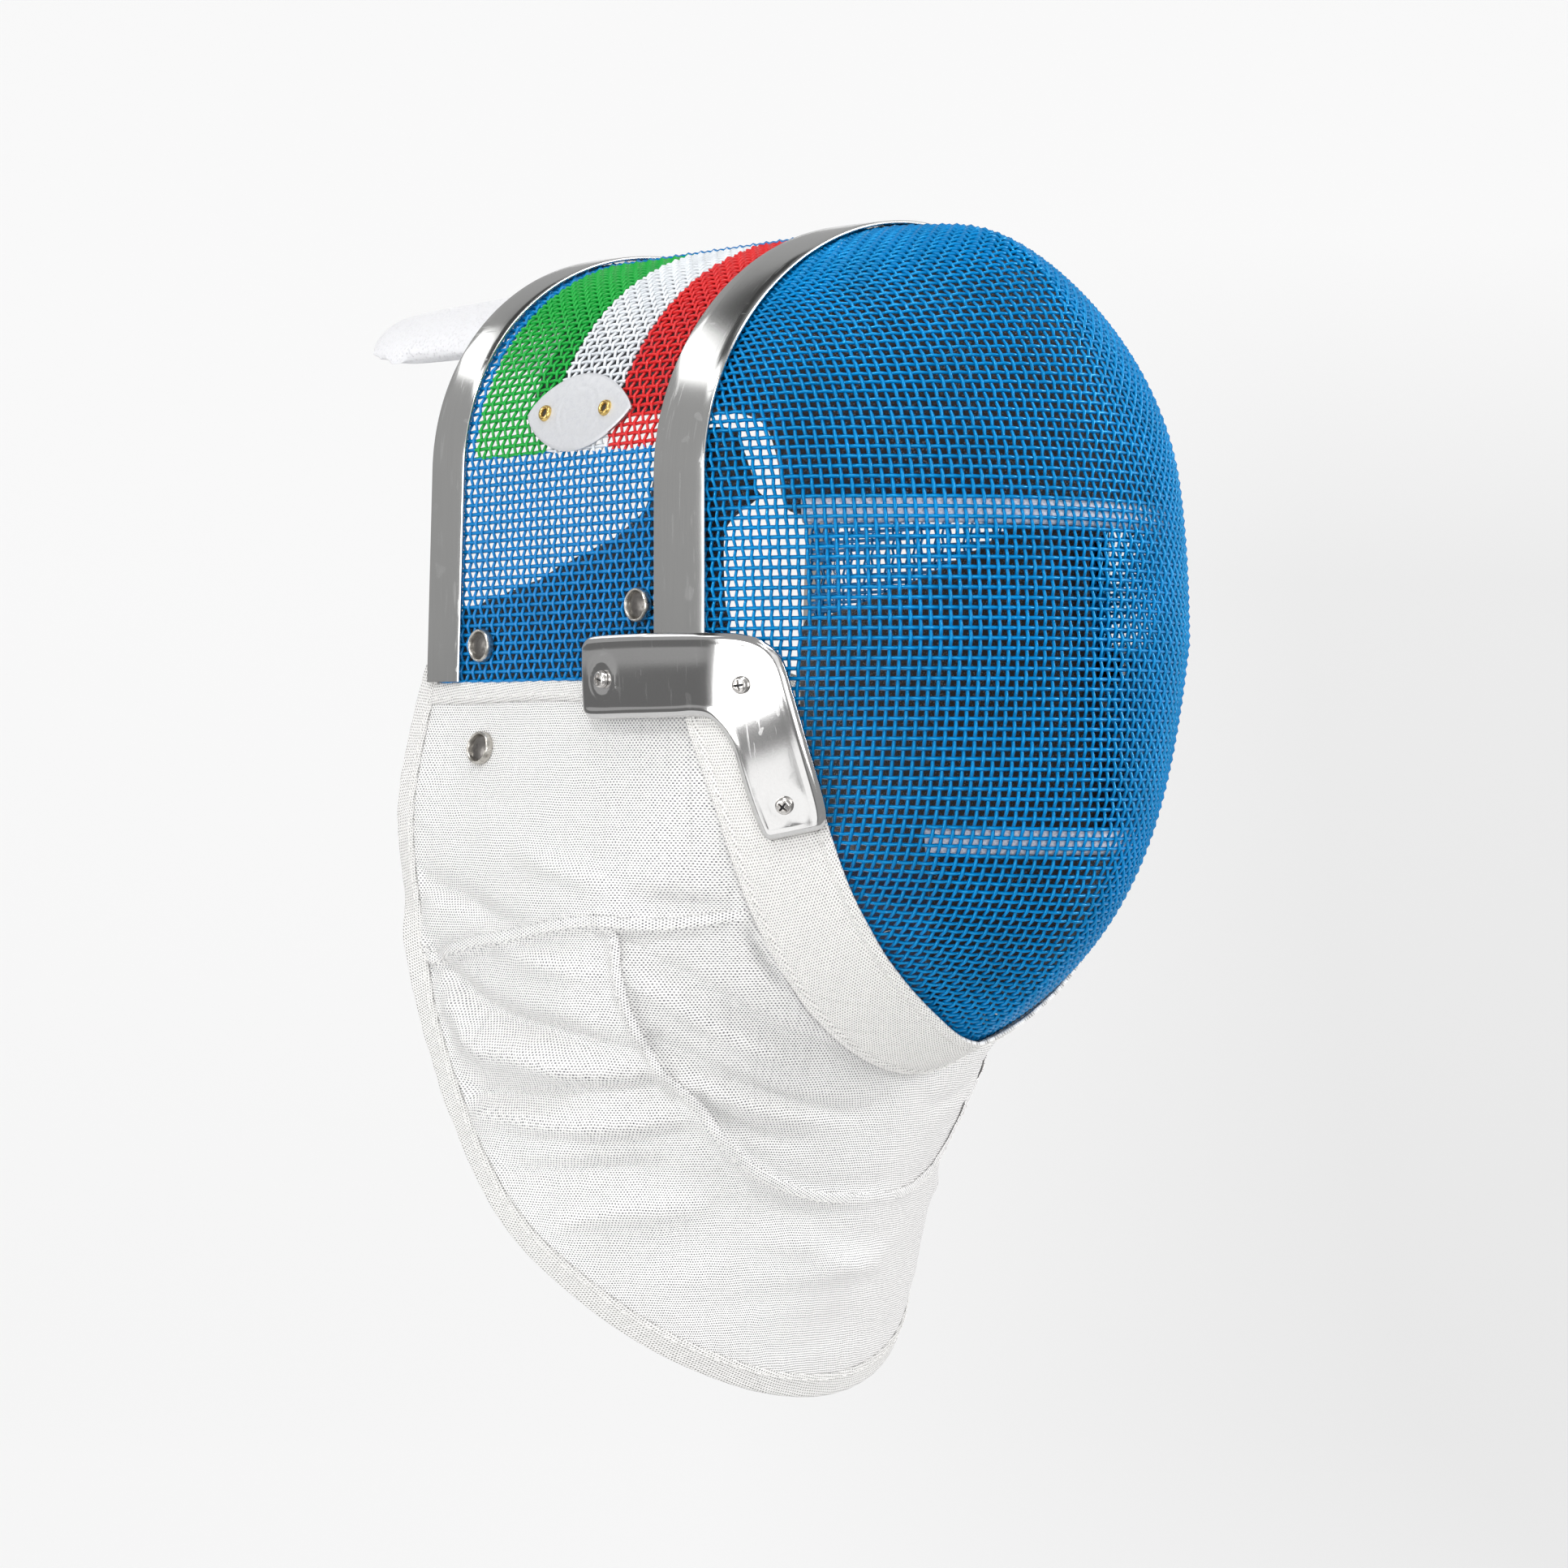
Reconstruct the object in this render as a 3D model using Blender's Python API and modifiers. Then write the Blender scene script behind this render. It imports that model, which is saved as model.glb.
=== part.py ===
"""A sabre fencing mask: woven wire face and crown, steel bands and side plates, a cloth bib,
padding inside and a padded tongue behind.

Metres, +Z up.  The face looks along -Y and +X is the wearer's left.  The origin is the crown
seat, the place under the padding where the top of the head touches.
"""
import bmesh
import bpy
import numpy as np
from math import pi, radians, sin, cos
from mathutils import Matrix, Vector

MM = 0.001

# ---- driving dimensions ------------------------------------------------------------------
SEAT_Z = 160.0 * MM            # the seat stands this far over the level of the chin strap line
FRONT_Y = -60.0 * MM           # plane of the front band's front edge, measured from the seat

FACE_HALF_WIDTH = 95.5 * MM    # outer faces of the front band, at the ears
FACE_TOP = 176.9 * MM - SEAT_Z
FACE_SPRING = 92.3 * MM - SEAT_Z   # the band's legs are straight up to here
FACE_ARCH_POWER = 1.9
FACE_EAR = 33.5 * MM - SEAT_Z      # below here the rim closes in towards the chin
FACE_CHIN = -97.3 * MM - SEAT_Z
FACE_CHIN_POWER = 1.81
FACE_DEPTH = 87.3 * MM         # from the front band's plane to the foremost wire
FACE_NOSE = 21.6 * MM - SEAT_Z     # height of the foremost point
BROW_POWER = 2.79              # how square the centre profile is over the nose
JAW_POWER = 3.36               # and under it
JAW_TUCK = 1.16
SECTION_POWER = 1.92           # how square the horizontal sections are: middle, top, chin
SECTION_POWER_TOP = 1.21
SECTION_POWER_CHIN = 1.28

FRONT_BAND_WIDTH = 22.6 * MM
REAR_BAND_WIDTH = 15.8 * MM
REAR_Y = FRONT_Y + 136.3 * MM  # rear edge of the rear band, at its feet
REAR_HALF_WIDTH = 88.3 * MM
REAR_TOP = 174.3 * MM - SEAT_Z
REAR_SPRING = 98.6 * MM - SEAT_Z
REAR_ARCH_POWER = 2.04
REAR_LEAN = 0.039              # the rear band leans forward by this slope
BAND_THICK = 1.2 * MM
BAND_FOOT = 28.8 * MM - SEAT_Z

MESH_THICK = 2.0 * MM          # two 1 mm wires where they cross
MESH_INSET = 2.6 * MM          # the mesh's middle surface lies this far inside the bands' faces
CLOTH_THICK = 1.8 * MM
TRIM_THICK = 1.2 * MM
TRIM_WIDTH = 34.5 * MM
TRIM_END_WIDTH = 15.0 * MM
TRIM_CHIN_CUT = 5.0 * MM       # the strip is narrower under the chin
TRIM_OVERLAP = 1.4 * MM        # the trim reaches this far back over the bib's top edge,
TRIM_EAR_OVERLAP = 8.5 * MM    # and this far below the ears
PLATE_THICK = 1.5 * MM
PAD_GAP = 1.6 * MM
HEAD_PAD_THICK = 10.9 * MM     # brings the pad's underside down to the seat
GAP = 0.4 * MM

# ---- colours: name -> (red, green, blue), roughness, metallic ------------------------------
FINISHES = {
    "blue_wire": ((0.01, 0.13, 0.55), 0.3, 0.0),
    "striped_wire": ((0.02, 0.15, 0.5), 0.32, 0.0),
    "band_steel": ((0.62, 0.61, 0.6), 0.22, 1.0),
    "plate_steel": ((0.72, 0.72, 0.72), 0.16, 1.0),
    "cap_steel": ((0.6, 0.58, 0.55), 0.25, 1.0),
    "silver_cloth": ((0.72, 0.71, 0.7), 0.6, 0.1),
    "canvas": ((0.78, 0.77, 0.74), 0.85, 0.0),
    "charcoal_pad": ((0.035, 0.037, 0.045), 0.9, 0.0),
    "white_pad": ((0.8, 0.8, 0.8), 0.8, 0.0),
    "label_alloy": ((0.75, 0.75, 0.76), 0.4, 0.6),
    "brass": ((0.7, 0.5, 0.2), 0.3, 1.0),
}


# ---- small helpers -------------------------------------------------------------------------
def clear_scene():
    for old in list(bpy.data.objects):
        bpy.data.objects.remove(old, do_unlink=True)


def finish(name):
    colour, roughness, metallic = FINISHES[name]
    material = bpy.data.materials.get(name) or bpy.data.materials.new(name)
    material.use_nodes = True
    shader = material.node_tree.nodes["Principled BSDF"]
    shader.inputs["Base Color"].default_value = (*colour, 1.0)
    shader.inputs["Roughness"].default_value = roughness
    shader.inputs["Metallic"].default_value = metallic
    return material


def add_object(name, vertices, faces, material, parts, closed=False):
    shape = bmesh.new()
    corners = [shape.verts.new(v) for v in vertices]
    for face in faces:
        shape.faces.new([corners[k] for k in face])
    if closed:
        bmesh.ops.recalc_face_normals(shape, faces=shape.faces)
    mesh = bpy.data.meshes.new(name)
    shape.to_mesh(mesh)
    shape.free()
    mesh.materials.append(finish(material))
    mesh.shade_smooth()
    mesh.set_sharp_from_angle(angle=radians(35))
    thing = bpy.data.objects.new(name, mesh)
    parts.objects.link(thing)
    return thing


def thicken(thing, thickness, offset=0.0):
    """Give an open surface its wall: offset 1 grows it along the normals, 0 on both sides."""
    solid = thing.modifiers.new("wall", "SOLIDIFY")
    solid.thickness = thickness
    solid.offset = offset
    solid.use_even_offset = False
    return thing


def grid_faces(rows, columns, flip=False):
    faces = []
    for i in range(rows - 1):
        for j in range(columns - 1):
            a = i * columns + j
            quad = (a, a + 1, a + columns + 1, a + columns)
            faces.append(quad[::-1] if flip else quad)
    return faces


def signed_power(value, power):
    return np.sign(value) * np.abs(value) ** power


def smooth_table(rows, count):
    """Points along the smooth curve through the table's rows, evenly spaced by length."""
    rows = np.array(rows, float)
    padded = np.vstack([2 * rows[0] - rows[1], rows, 2 * rows[-1] - rows[-2]])
    fine = []
    for i in range(len(rows) - 1):
        p0, p1, p2, p3 = padded[i:i + 4]
        for t in np.linspace(0, 1, 24, endpoint=False):
            fine.append(0.5 * (2 * p1 + (p2 - p0) * t + (2 * p0 - 5 * p1 + 4 * p2 - p3) * t * t
                               + (3 * p1 - p0 - 3 * p2 + p3) * t ** 3))
    fine.append(rows[-1])
    fine = np.array(fine)
    return spread_evenly(fine, count)


def spread_evenly(curve, count):
    length = np.r_[0, np.cumsum(np.linalg.norm(np.diff(curve[:, :3], axis=0), axis=1))]
    places = np.linspace(0, length[-1], count)
    return np.stack([np.interp(places, length, curve[:, k]) for k in range(curve.shape[1])], 1)


def grid_normals(points, outward_from):
    """Unit normals of a grid of points, turned away from a point inside."""
    along = np.gradient(points, axis=0)
    across = np.gradient(points, axis=1)
    normals = np.cross(along, across)
    normals /= np.linalg.norm(normals, axis=-1, keepdims=True) + 1e-12
    side = np.sign(((points - np.array(outward_from)) * normals).sum(-1))
    return normals * side[..., None]


# ---- the face: a dome that stands forward from a flat rim ------------------------------------
def rim_half_width(z, inset):
    """Half the width of the face's rim at height z."""
    half = FACE_HALF_WIDTH - inset
    up = np.clip((z - FACE_SPRING) / (FACE_TOP - inset - FACE_SPRING), 0, 1)
    down = np.clip((FACE_EAR - z) / (FACE_EAR - FACE_CHIN - inset), 0, 1)
    arch = (1 - up ** FACE_ARCH_POWER) ** (1 / FACE_ARCH_POWER)
    chin = (1 - down ** FACE_CHIN_POWER) ** (1 / FACE_CHIN_POWER)
    return half * arch * chin


def face_depth(z, inset):
    """How far the centre profile stands forward of the rim at height z."""
    up = np.clip((z - FACE_NOSE) / (FACE_TOP - inset - FACE_NOSE), 0, 1)
    down = np.clip((FACE_NOSE - z) / (FACE_NOSE - FACE_CHIN - inset), 0, 1)
    brow = (1 - up ** BROW_POWER) ** (1 / BROW_POWER)
    jaw = (1 - down ** JAW_POWER) ** (1 / JAW_TUCK)
    return (FACE_DEPTH - inset) * brow * jaw


def section_power(z):
    middle = (FACE_TOP + FACE_CHIN) / 2
    reach = (FACE_TOP - FACE_CHIN) / 2
    up = np.clip((z - middle) / reach, 0, 1) ** 2.37
    down = np.clip((middle - z) / reach, 0, 1) ** 0.79
    return (SECTION_POWER + (SECTION_POWER_TOP - SECTION_POWER) * up
            + (SECTION_POWER_CHIN - SECTION_POWER) * down)


def face_forward(x, z, inset):
    """How far the dome stands forward of its rim plane over the place (x, z)."""
    power = section_power(z)
    across = np.clip(np.abs(x) / np.maximum(rim_half_width(z, inset), 1e-9), 0, 1)
    return face_depth(z, inset) * (1 - across ** power) ** (1 / power)


def rim_point(angle, inset):
    """The rim as seen from the nose: angle 0 at the wearer's left, 90 degrees at the top."""
    direction = np.array([cos(angle), sin(angle)])
    low, high = 0.0, 0.3
    for _ in range(46):
        reach = (low + high) / 2
        x, z = direction * reach + (0.0, FACE_NOSE)
        inside = FACE_CHIN + inset < z < FACE_TOP - inset and abs(x) < rim_half_width(z, inset)
        low, high = (reach, high) if inside else (low, reach)
    return direction * low + (0.0, FACE_NOSE)


def face_spoke(angle, inset, count=60):
    """A line on the dome from the nose out to the rim."""
    rim = rim_point(angle, inset)
    share = np.sin(np.linspace(0, pi / 2, count))
    x = rim[0] * share
    z = FACE_NOSE + (rim[1] - FACE_NOSE) * share
    y = FRONT_Y - face_forward(x, z, inset)
    y[-1] = FRONT_Y
    return np.stack([x, y, z], 1)


def rear_half_width(z, inset):
    """Half the width of the rear arch at height z."""
    up = np.clip((z - REAR_SPRING) / (REAR_TOP - inset - REAR_SPRING), 0, 1)
    return (REAR_HALF_WIDTH - inset) * (1 - up ** REAR_ARCH_POWER) ** (1 / REAR_ARCH_POWER)


def crown_share(y):
    """0 under the front band, 1 under the rear one, and even between them."""
    start = FRONT_Y + FRONT_BAND_WIDTH
    return np.clip((y - start) / (REAR_Y - REAR_BAND_WIDTH - start), 0, 1)


def side_x(y, z, inset):
    """Half-width of the mask's side at (y, z): the dome ahead of the rim plane, the wall behind."""
    forward = np.maximum(FRONT_Y - y, 0)
    power = section_power(z)
    share = np.clip(forward / face_depth(z, inset), 0, 1)
    dome = rim_half_width(z, inset) * (1 - share ** power) ** (1 / power)
    back = crown_share(y)
    wall = rim_half_width(z, inset) * (1 - back) + rear_half_width(z, inset) * back
    return np.where(y < FRONT_Y, dome, wall)


def crown_height(x, y, inset):
    """Height of the crown over the place (x, y), behind the rim plane."""
    across = np.clip(abs(x) / (FACE_HALF_WIDTH - inset), 0, 1)
    front = (FACE_TOP - inset - FACE_SPRING) * (1 - across ** FACE_ARCH_POWER) ** (
        1 / FACE_ARCH_POWER) + FACE_SPRING
    across = np.clip(abs(x) / (REAR_HALF_WIDTH - inset), 0, 1)
    rear = (REAR_TOP - inset - REAR_SPRING) * (1 - across ** REAR_ARCH_POWER) ** (
        1 / REAR_ARCH_POWER) + REAR_SPRING
    back = crown_share(y)
    return front * (1 - back) + rear * back


# ---- arches for the bands and the crown ------------------------------------------------------
def arch(half_width, spring, top, power, foot, count):
    """An arch from the right foot over the top to the left foot, as (x, z), evenly spaced."""
    turn = np.linspace(0, pi / 2, 60)
    x = -half_width * np.cos(turn).clip(0) ** (2 / power)
    z = spring + (top - spring) * np.sin(turn) ** (2 / power)
    half = np.vstack([[(-half_width, foot)], np.stack([x, z], 1)])
    whole = np.vstack([half, (half * (-1, 1))[::-1][1:]])
    return spread_evenly(whole, count)


def front_arch(inset, foot, count):
    return arch(FACE_HALF_WIDTH - inset, FACE_SPRING, FACE_TOP - inset, FACE_ARCH_POWER,
                foot, count)


def rear_arch(inset, foot, count):
    return arch(REAR_HALF_WIDTH - inset, REAR_SPRING, REAR_TOP - inset, REAR_ARCH_POWER,
                foot, count)


def rear_lean(z):
    return -REAR_LEAN * (z - REAR_SPRING)


# ---- the pieces ------------------------------------------------------------------------------
def make_front_mesh(parts):
    spokes, rings = 44, 12
    collar = 10.5 * MM
    share = np.sin(np.linspace(0, pi / 2, rings + 1))[1:]
    vertices = [(0.0, FRONT_Y - (FACE_DEPTH - MESH_INSET), FACE_NOSE)]
    for s in share:
        for k in range(spokes):
            rim = rim_point(2 * pi * k / spokes, MESH_INSET)
            x, z = rim[0] * s, FACE_NOSE + (rim[1] - FACE_NOSE) * s
            forward = face_forward(x, z, MESH_INSET) if s < 0.999 else 0.0
            vertices.append((x, FRONT_Y - forward, z))
    for k in range(spokes):
        rim = rim_point(2 * pi * k / spokes, MESH_INSET)
        back = collar * np.clip((rim[1] - BAND_FOOT) / (12 * MM), 0.06, 1)
        vertices.append((rim[0], FRONT_Y + back, rim[1]))
    faces = [(0, 1 + (k + 1) % spokes, 1 + k) for k in range(spokes)]
    for ring in range(rings):
        for k in range(spokes):
            a, b = 1 + ring * spokes + k, 1 + ring * spokes + (k + 1) % spokes
            faces.append((a, b, b + spokes, a + spokes))
    thicken(add_object("front_mesh", vertices, faces, "blue_wire", parts), MESH_THICK)


def make_crown_mesh(parts):
    count = 33
    front = front_arch(MESH_INSET, BAND_FOOT, count)
    rear = rear_arch(MESH_INSET, BAND_FOOT, count)
    shares = (0.0, 0.0, 0.33, 0.67, 1.0, 1.0)
    vertices = []
    for i in range(count):
        lean = rear_lean(rear[i, 1])
        start, end = FRONT_Y + FRONT_BAND_WIDTH, REAR_Y - REAR_BAND_WIDTH + lean
        under_bands = {0: FRONT_Y + 11.6 * MM, 5: REAR_Y - 5 * MM + lean}
        for k, share in enumerate(shares):
            x, z = front[i] + (rear[i] - front[i]) * share
            y = under_bands.get(k, start + (end - start) * share)
            vertices.append((x, y, z))
    faces = grid_faces(count, len(shares))
    thicken(add_object("crown_mesh", vertices, faces, "striped_wire", parts), MESH_THICK)


def make_band(name, line, front_y, width, lean, parts):
    vertices = []
    for x, z in line:
        for share in (0, 0.5, 1):
            vertices.append((x, front_y + width * share + lean(z), z))
    thing = add_object(name, vertices, grid_faces(len(line), 3), "band_steel", parts)
    thicken(thing, BAND_THICK)


def make_bands(parts):
    middle = BAND_THICK / 2
    make_band("front_band", front_arch(middle, BAND_FOOT + 2 * MM, 37), FRONT_Y,
              FRONT_BAND_WIDTH, lambda z: 0.0, parts)
    make_band("rear_band", rear_arch(middle, BAND_FOOT, 33), REAR_Y - REAR_BAND_WIDTH,
              REAR_BAND_WIDTH, rear_lean, parts)


def make_bib_trim(parts):
    """The canvas strip round the face's lower rim."""
    count, rows = 41, 5
    surface = MESH_INSET - MESH_THICK / 2 - 2 * GAP - TRIM_THICK / 2
    start = np.arctan2(BAND_FOOT - FACE_NOSE, FACE_HALF_WIDTH)
    points = []
    for angle in np.linspace(-pi - start, start, count):
        spoke = face_spoke(angle, surface)
        climb = np.clip((spoke[-1, 2] + SEAT_Z + 15 * MM) / (44 * MM), 0, 1)
        low = np.exp(-(spoke[-1, 0] / (22 * MM)) ** 2) if spoke[-1, 2] < FACE_NOSE else 0.0
        width = TRIM_WIDTH + (TRIM_END_WIDTH - TRIM_WIDTH) * climb - TRIM_CHIN_CUT * low
        inward = spoke[::-1]
        length = np.r_[0, np.cumsum(np.linalg.norm(np.diff(inward, axis=0), axis=1))]
        strip = [[np.interp(d, length, inward[:, k]) for k in range(3)]
                 for d in np.linspace(0, width, rows - 1)]
        ear = np.clip((spoke[-1, 2] + SEAT_Z + 20 * MM) / (34 * MM), 0, 1) ** 1.5
        overlap = TRIM_OVERLAP + (TRIM_EAR_OVERLAP - TRIM_OVERLAP) * ear
        points.append([(strip[0][0], FRONT_Y + overlap, strip[0][2])] + strip)
    vertices = np.array(points).reshape(-1, 3)
    thing = add_object("bib_trim", vertices, grid_faces(count, rows), "canvas", parts)
    thicken(thing, TRIM_THICK)


# Half of the bib, from the middle of the throat round to its rear edge.  Each row is a station:
# where its top edge and its bound edge are, how far the cloth between them bellies out, and how
# far it swings back.
# (millimetres; x outwards, y back from the front band's plane, z over the chin strap line)
BIB_STATIONS = (
    # top_y  top_z   low_x   low_y   low_z  belly  swing
    (2.0,   -95.0,   0.0,   43.8, -206.0, -1.0,   0.0),
    (2.0,   -91.2,  24.0,   46.8, -203.0, -3.0,   0.0),
    (2.0,   -78.2,  45.0,   54.8, -195.0, -5.5,   0.0),
    (2.0,   -60.0,  62.0,   67.0, -184.0, -5.5,   0.0),
    (2.0,   -38.4,  77.0,   82.0, -168.5, -3.5,   0.0),
    (2.0,   -13.0,  85.5,   97.0, -153.0,  1.0,   0.0),
    (5.0,    14.0,  89.5,  110.0, -135.0,  4.0,   0.0),
    (40.0,   25.0,  91.5,  121.0, -114.0,  4.5,   0.0),
    (72.0,   28.0,  92.0,  129.5,  -96.0,  4.0,   1.0),
    (107.0,  28.0,  92.0,  134.5,  -81.0,  3.5,   3.0),
    (138.5,  27.8,  92.0,  138.5,  -60.0,  3.0,   4.5),
)
BIB_INSET = 3.4 * MM           # its top edge tucks under the trim, this far inside its face
BINDING_WIDTH = 4.6 * MM
BINDING_REACH = 2.0 * MM       # from the bib's edge to the binding's near side

# The folds that stand out, each a ridge (or a dent, where it is negative) along a line over the
# bib.  across runs from -1 at the wearer's right rear edge through 0 at the throat to 1 at the
# left, and down from 0 at the top edge to 1 at the free edge.
BIB_FOLDS = (
    # across_a down_a  across_b down_b  width  height (mm)
    (-1.00,   0.53,   -0.62,    0.44,   0.050,   3.0),
    (-0.62,   0.44,   -0.34,    0.36,   0.045,   2.6),
    (-1.00,   0.66,   -0.58,    0.62,   0.050,  -3.2),
    (-0.66,   0.46,   -0.50,    0.70,   0.055,   3.0),
    (-0.50,   0.70,   -0.22,    0.80,   0.060,   3.2),
    (-0.95,   0.82,   -0.56,    0.78,   0.050,  -2.8),
    (-0.40,   0.22,   -0.34,    0.52,   0.045,  -2.6),
    (0.98,    0.50,    0.60,    0.46,   0.055,   2.8),
    (0.98,    0.68,    0.55,    0.66,   0.055,  -3.0),
    (0.62,    0.48,    0.44,    0.74,   0.060,   2.8),
    (0.44,    0.74,    0.16,    0.82,   0.060,   2.6),
    (0.38,    0.24,    0.30,    0.54,   0.050,  -2.4),
)


def fold_height(across, down):
    """How far the folds lift the cloth at a place on the bib, in metres."""
    height = 0.0
    for a0, d0, a1, d1, width, lift in BIB_FOLDS:
        along = np.array([a1 - a0, d1 - d0])
        place = np.array([across - a0, down - d0])
        share = float(np.clip(place @ along / (along @ along), 0, 1))
        distance = np.linalg.norm(place - along * share)
        height += lift * MM * np.exp(-(distance / width) ** 2)
    edge = min(1.0, down / 0.12, (1 - down) / 0.08, (1 - abs(across)) / 0.1)
    return height * max(edge, 0.0)


def bib_rails(count):
    """The stations spread evenly round the whole bib, right rear edge to left rear edge."""
    rows = []
    for top_y, top_z, low_x, low_y, low_z, belly, swing in BIB_STATIONS:
        y, z = top_y * MM + FRONT_Y, top_z * MM - SEAT_Z
        rows.append((float(side_x(y, z, BIB_INSET)), y, z, low_x * MM,
                     low_y * MM + FRONT_Y, low_z * MM - SEAT_Z, belly * MM, swing * MM))
    mirrored = [(-r[0], r[1], r[2], -r[3]) + r[4:] for r in rows[:0:-1]]
    return smooth_table(mirrored + rows, count)


def bib_surface(count, rows):
    """The bib's middle surface as a grid of points, stations by rows down from the top."""
    rails = bib_rails(count)
    down = np.linspace(0, 1, rows)
    top, low, belly = rails[:, None, 0:3], rails[:, None, 3:6], rails[:, None, 6:7]
    bound = BINDING_WIDTH + BINDING_REACH
    low = low + (top - low) * bound / np.linalg.norm(top - low, axis=-1, keepdims=True)
    flat = top + (low - top) * down[None, :, None]
    flat[..., 1] += rails[:, None, 7] * np.sin(pi * down[None, :] ** 0.8)
    normals = grid_normals(flat, (0, 0.05, -0.22))
    rise = (np.sin(pi * down ** 1.15) ** 2)[None, :, None]
    belly_out = flat + normals * belly * rise
    across = np.linspace(-1, 1, count)
    folds = np.array([[fold_height(a, d) for d in down] for a in across])
    return belly_out + normals * folds[..., None]


def on_bib(side, y, z, lift):
    """The place on the bib's side nearest (y, z), lifted off its middle, and the normal."""
    points = bib_surface(81, 31)
    normals = grid_normals(points, (0, 0.05, -0.22))
    away = (points[..., 1] - y) ** 2 + (points[..., 2] - z) ** 2
    away[points[..., 0] * side < 0] = 1.0
    nearest = np.unravel_index(away.argmin(), away.shape)
    return tuple(points[nearest] + normals[nearest] * lift), tuple(normals[nearest])


def make_bib(parts):
    count, rows = 51, 14
    points = bib_surface(count, rows)
    thing = add_object("bib", points.reshape(-1, 3), grid_faces(count, rows), "silver_cloth",
                       parts)
    thicken(thing, CLOTH_THICK)


def unit(vectors):
    return vectors / np.linalg.norm(vectors, axis=-1, keepdims=True)


def bound_edge(points):
    """The bib's bound edge, right rear top to left rear top: places, normals and ways out."""
    normals = grid_normals(points, (0, 0.05, -0.22))
    edge = np.vstack([points[0, :-1], points[:, -1], points[-1, -2::-1]])
    normal = np.vstack([normals[0, :-1], normals[:, -1], normals[-1, -2::-1]])
    for _ in range(3):
        normal[1:-1] = (normal[:-2] + normal[1:-1] * 2 + normal[2:]) / 4
    outward = unit(np.cross(np.gradient(edge, axis=0), unit(normal)))
    return edge, unit(np.cross(outward, np.gradient(edge, axis=0))), outward


def make_bib_binding(parts):
    """A flat bead just outside the bib's rear and bottom edges."""
    half_thick = 1.3 * MM
    section = ((0, -1), (0, 1), (BINDING_WIDTH, 0.55), (BINDING_WIDTH, -0.55))
    vertices = []
    line = list(zip(*bound_edge(bib_surface(51, 14))))
    for centre, normal, outward in line:
        for reach, lift in section:
            vertices.append(centre + outward * (BINDING_REACH + reach)
                            + normal * lift * half_thick)
    last = 4 * (len(line) - 1)
    faces = [(0, 1, 2, 3), (last + 3, last + 2, last + 1, last)]
    for i in range(len(line) - 1):
        for k in range(4):
            a, b = i * 4 + k, i * 4 + (k + 1) % 4
            faces.append((a, a + 4, b + 4, b))
    add_object("bib_binding", vertices, faces, "canvas", parts, closed=True)


# The side plate's two edges as y back from the front band's plane and z, in millimetres.  They
# run along the arm, round the elbow and down the lower arm.
PLATE_EDGES = (
    # outer y, z     inner y, z
    (53.6,  37.2,    53.6,  20.2),
    (52.0,  40.4,    52.0,  17.6),
    (48.5,  41.8,    48.5,  16.6),
    (30.0,  42.2,    30.0,  16.8),
    (8.0,   42.1,    10.0,  17.0),
    (-8.0,  41.7,     2.0,  17.4),
    (-17.5, 41.0,    -3.2,  16.8),
    (-23.6, 38.8,    -6.2,  14.8),
    (-27.8, 34.0,    -8.6,  11.8),
    (-29.8, 25.0,   -10.4,   7.6),
    (-31.4, 13.0,   -11.3,   1.0),
    (-32.6,  0.0,   -12.0,  -7.0),
    (-32.8, -9.0,   -12.8, -14.0),
    (-31.8, -14.2,  -13.6, -18.0),
    (-29.6, -16.4,  -15.6, -19.6),
)
PLATE_LIFT = 6.1 * MM          # its middle over the mesh's middle, clear of band and trim


def make_side_plate(name, side, parts):
    """side is -1 for the wearer's right and 1 for the left."""
    count, columns = 24, 7
    edges = np.array(PLATE_EDGES) * MM + (FRONT_Y, -SEAT_Z, FRONT_Y, -SEAT_Z)
    middle, half = (edges[:, :2] + edges[:, 2:]) / 2, (edges[:, 2:] - edges[:, :2]) / 2
    line = smooth_table(np.insert(np.hstack([middle, half]), 2, 0.0, axis=1), count)
    pressed = (0.9, 0.2, 0.0, 0.0, 0.0, 0.2, 0.9)
    shares = (-1.0, -0.86, -0.6, 0.0, 0.6, 0.86, 1.0)
    vertices = []
    for i in range(count):
        for share, drop in zip(shares, pressed):
            y, z = line[i, :2] + line[i, 3:] * share
            place, _ = on_side(side, y, z, PLATE_LIFT - drop * MM)
            vertices.append(place)
    thing = add_object(name, vertices, grid_faces(count, columns, flip=side > 0),
                       "plate_steel", parts)
    thicken(thing, PLATE_THICK)


def turned(name, profile, sides, place, normal, material, parts):
    """A turned piece: profile rows are (radius, height) from the axis on top to the axis below."""
    vertices, faces = [], []
    inner = profile[1:-1]
    vertices.append((0, 0, profile[0][1]))
    for radius, height in inner:
        for k in range(sides):
            angle = 2 * pi * k / sides
            vertices.append((radius * cos(angle), radius * sin(angle), height))
    vertices.append((0, 0, profile[-1][1]))
    for k in range(sides):
        faces.append((0, 1 + k, 1 + (k + 1) % sides))
    for ring in range(len(inner) - 1):
        for k in range(sides):
            a, b = 1 + ring * sides + k, 1 + ring * sides + (k + 1) % sides
            faces.append((a, a + sides, b + sides, b))
    last = 1 + (len(inner) - 1) * sides
    for k in range(sides):
        faces.append((len(vertices) - 1, last + (k + 1) % sides, last + k))
    thing = add_object(name, vertices, faces, material, parts, closed=True)
    turn = Vector((0, 0, 1)).rotation_difference(Vector(normal)).to_matrix().to_4x4()
    thing.matrix_world = Matrix.Translation(Vector(place)) @ turn
    return thing


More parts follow.
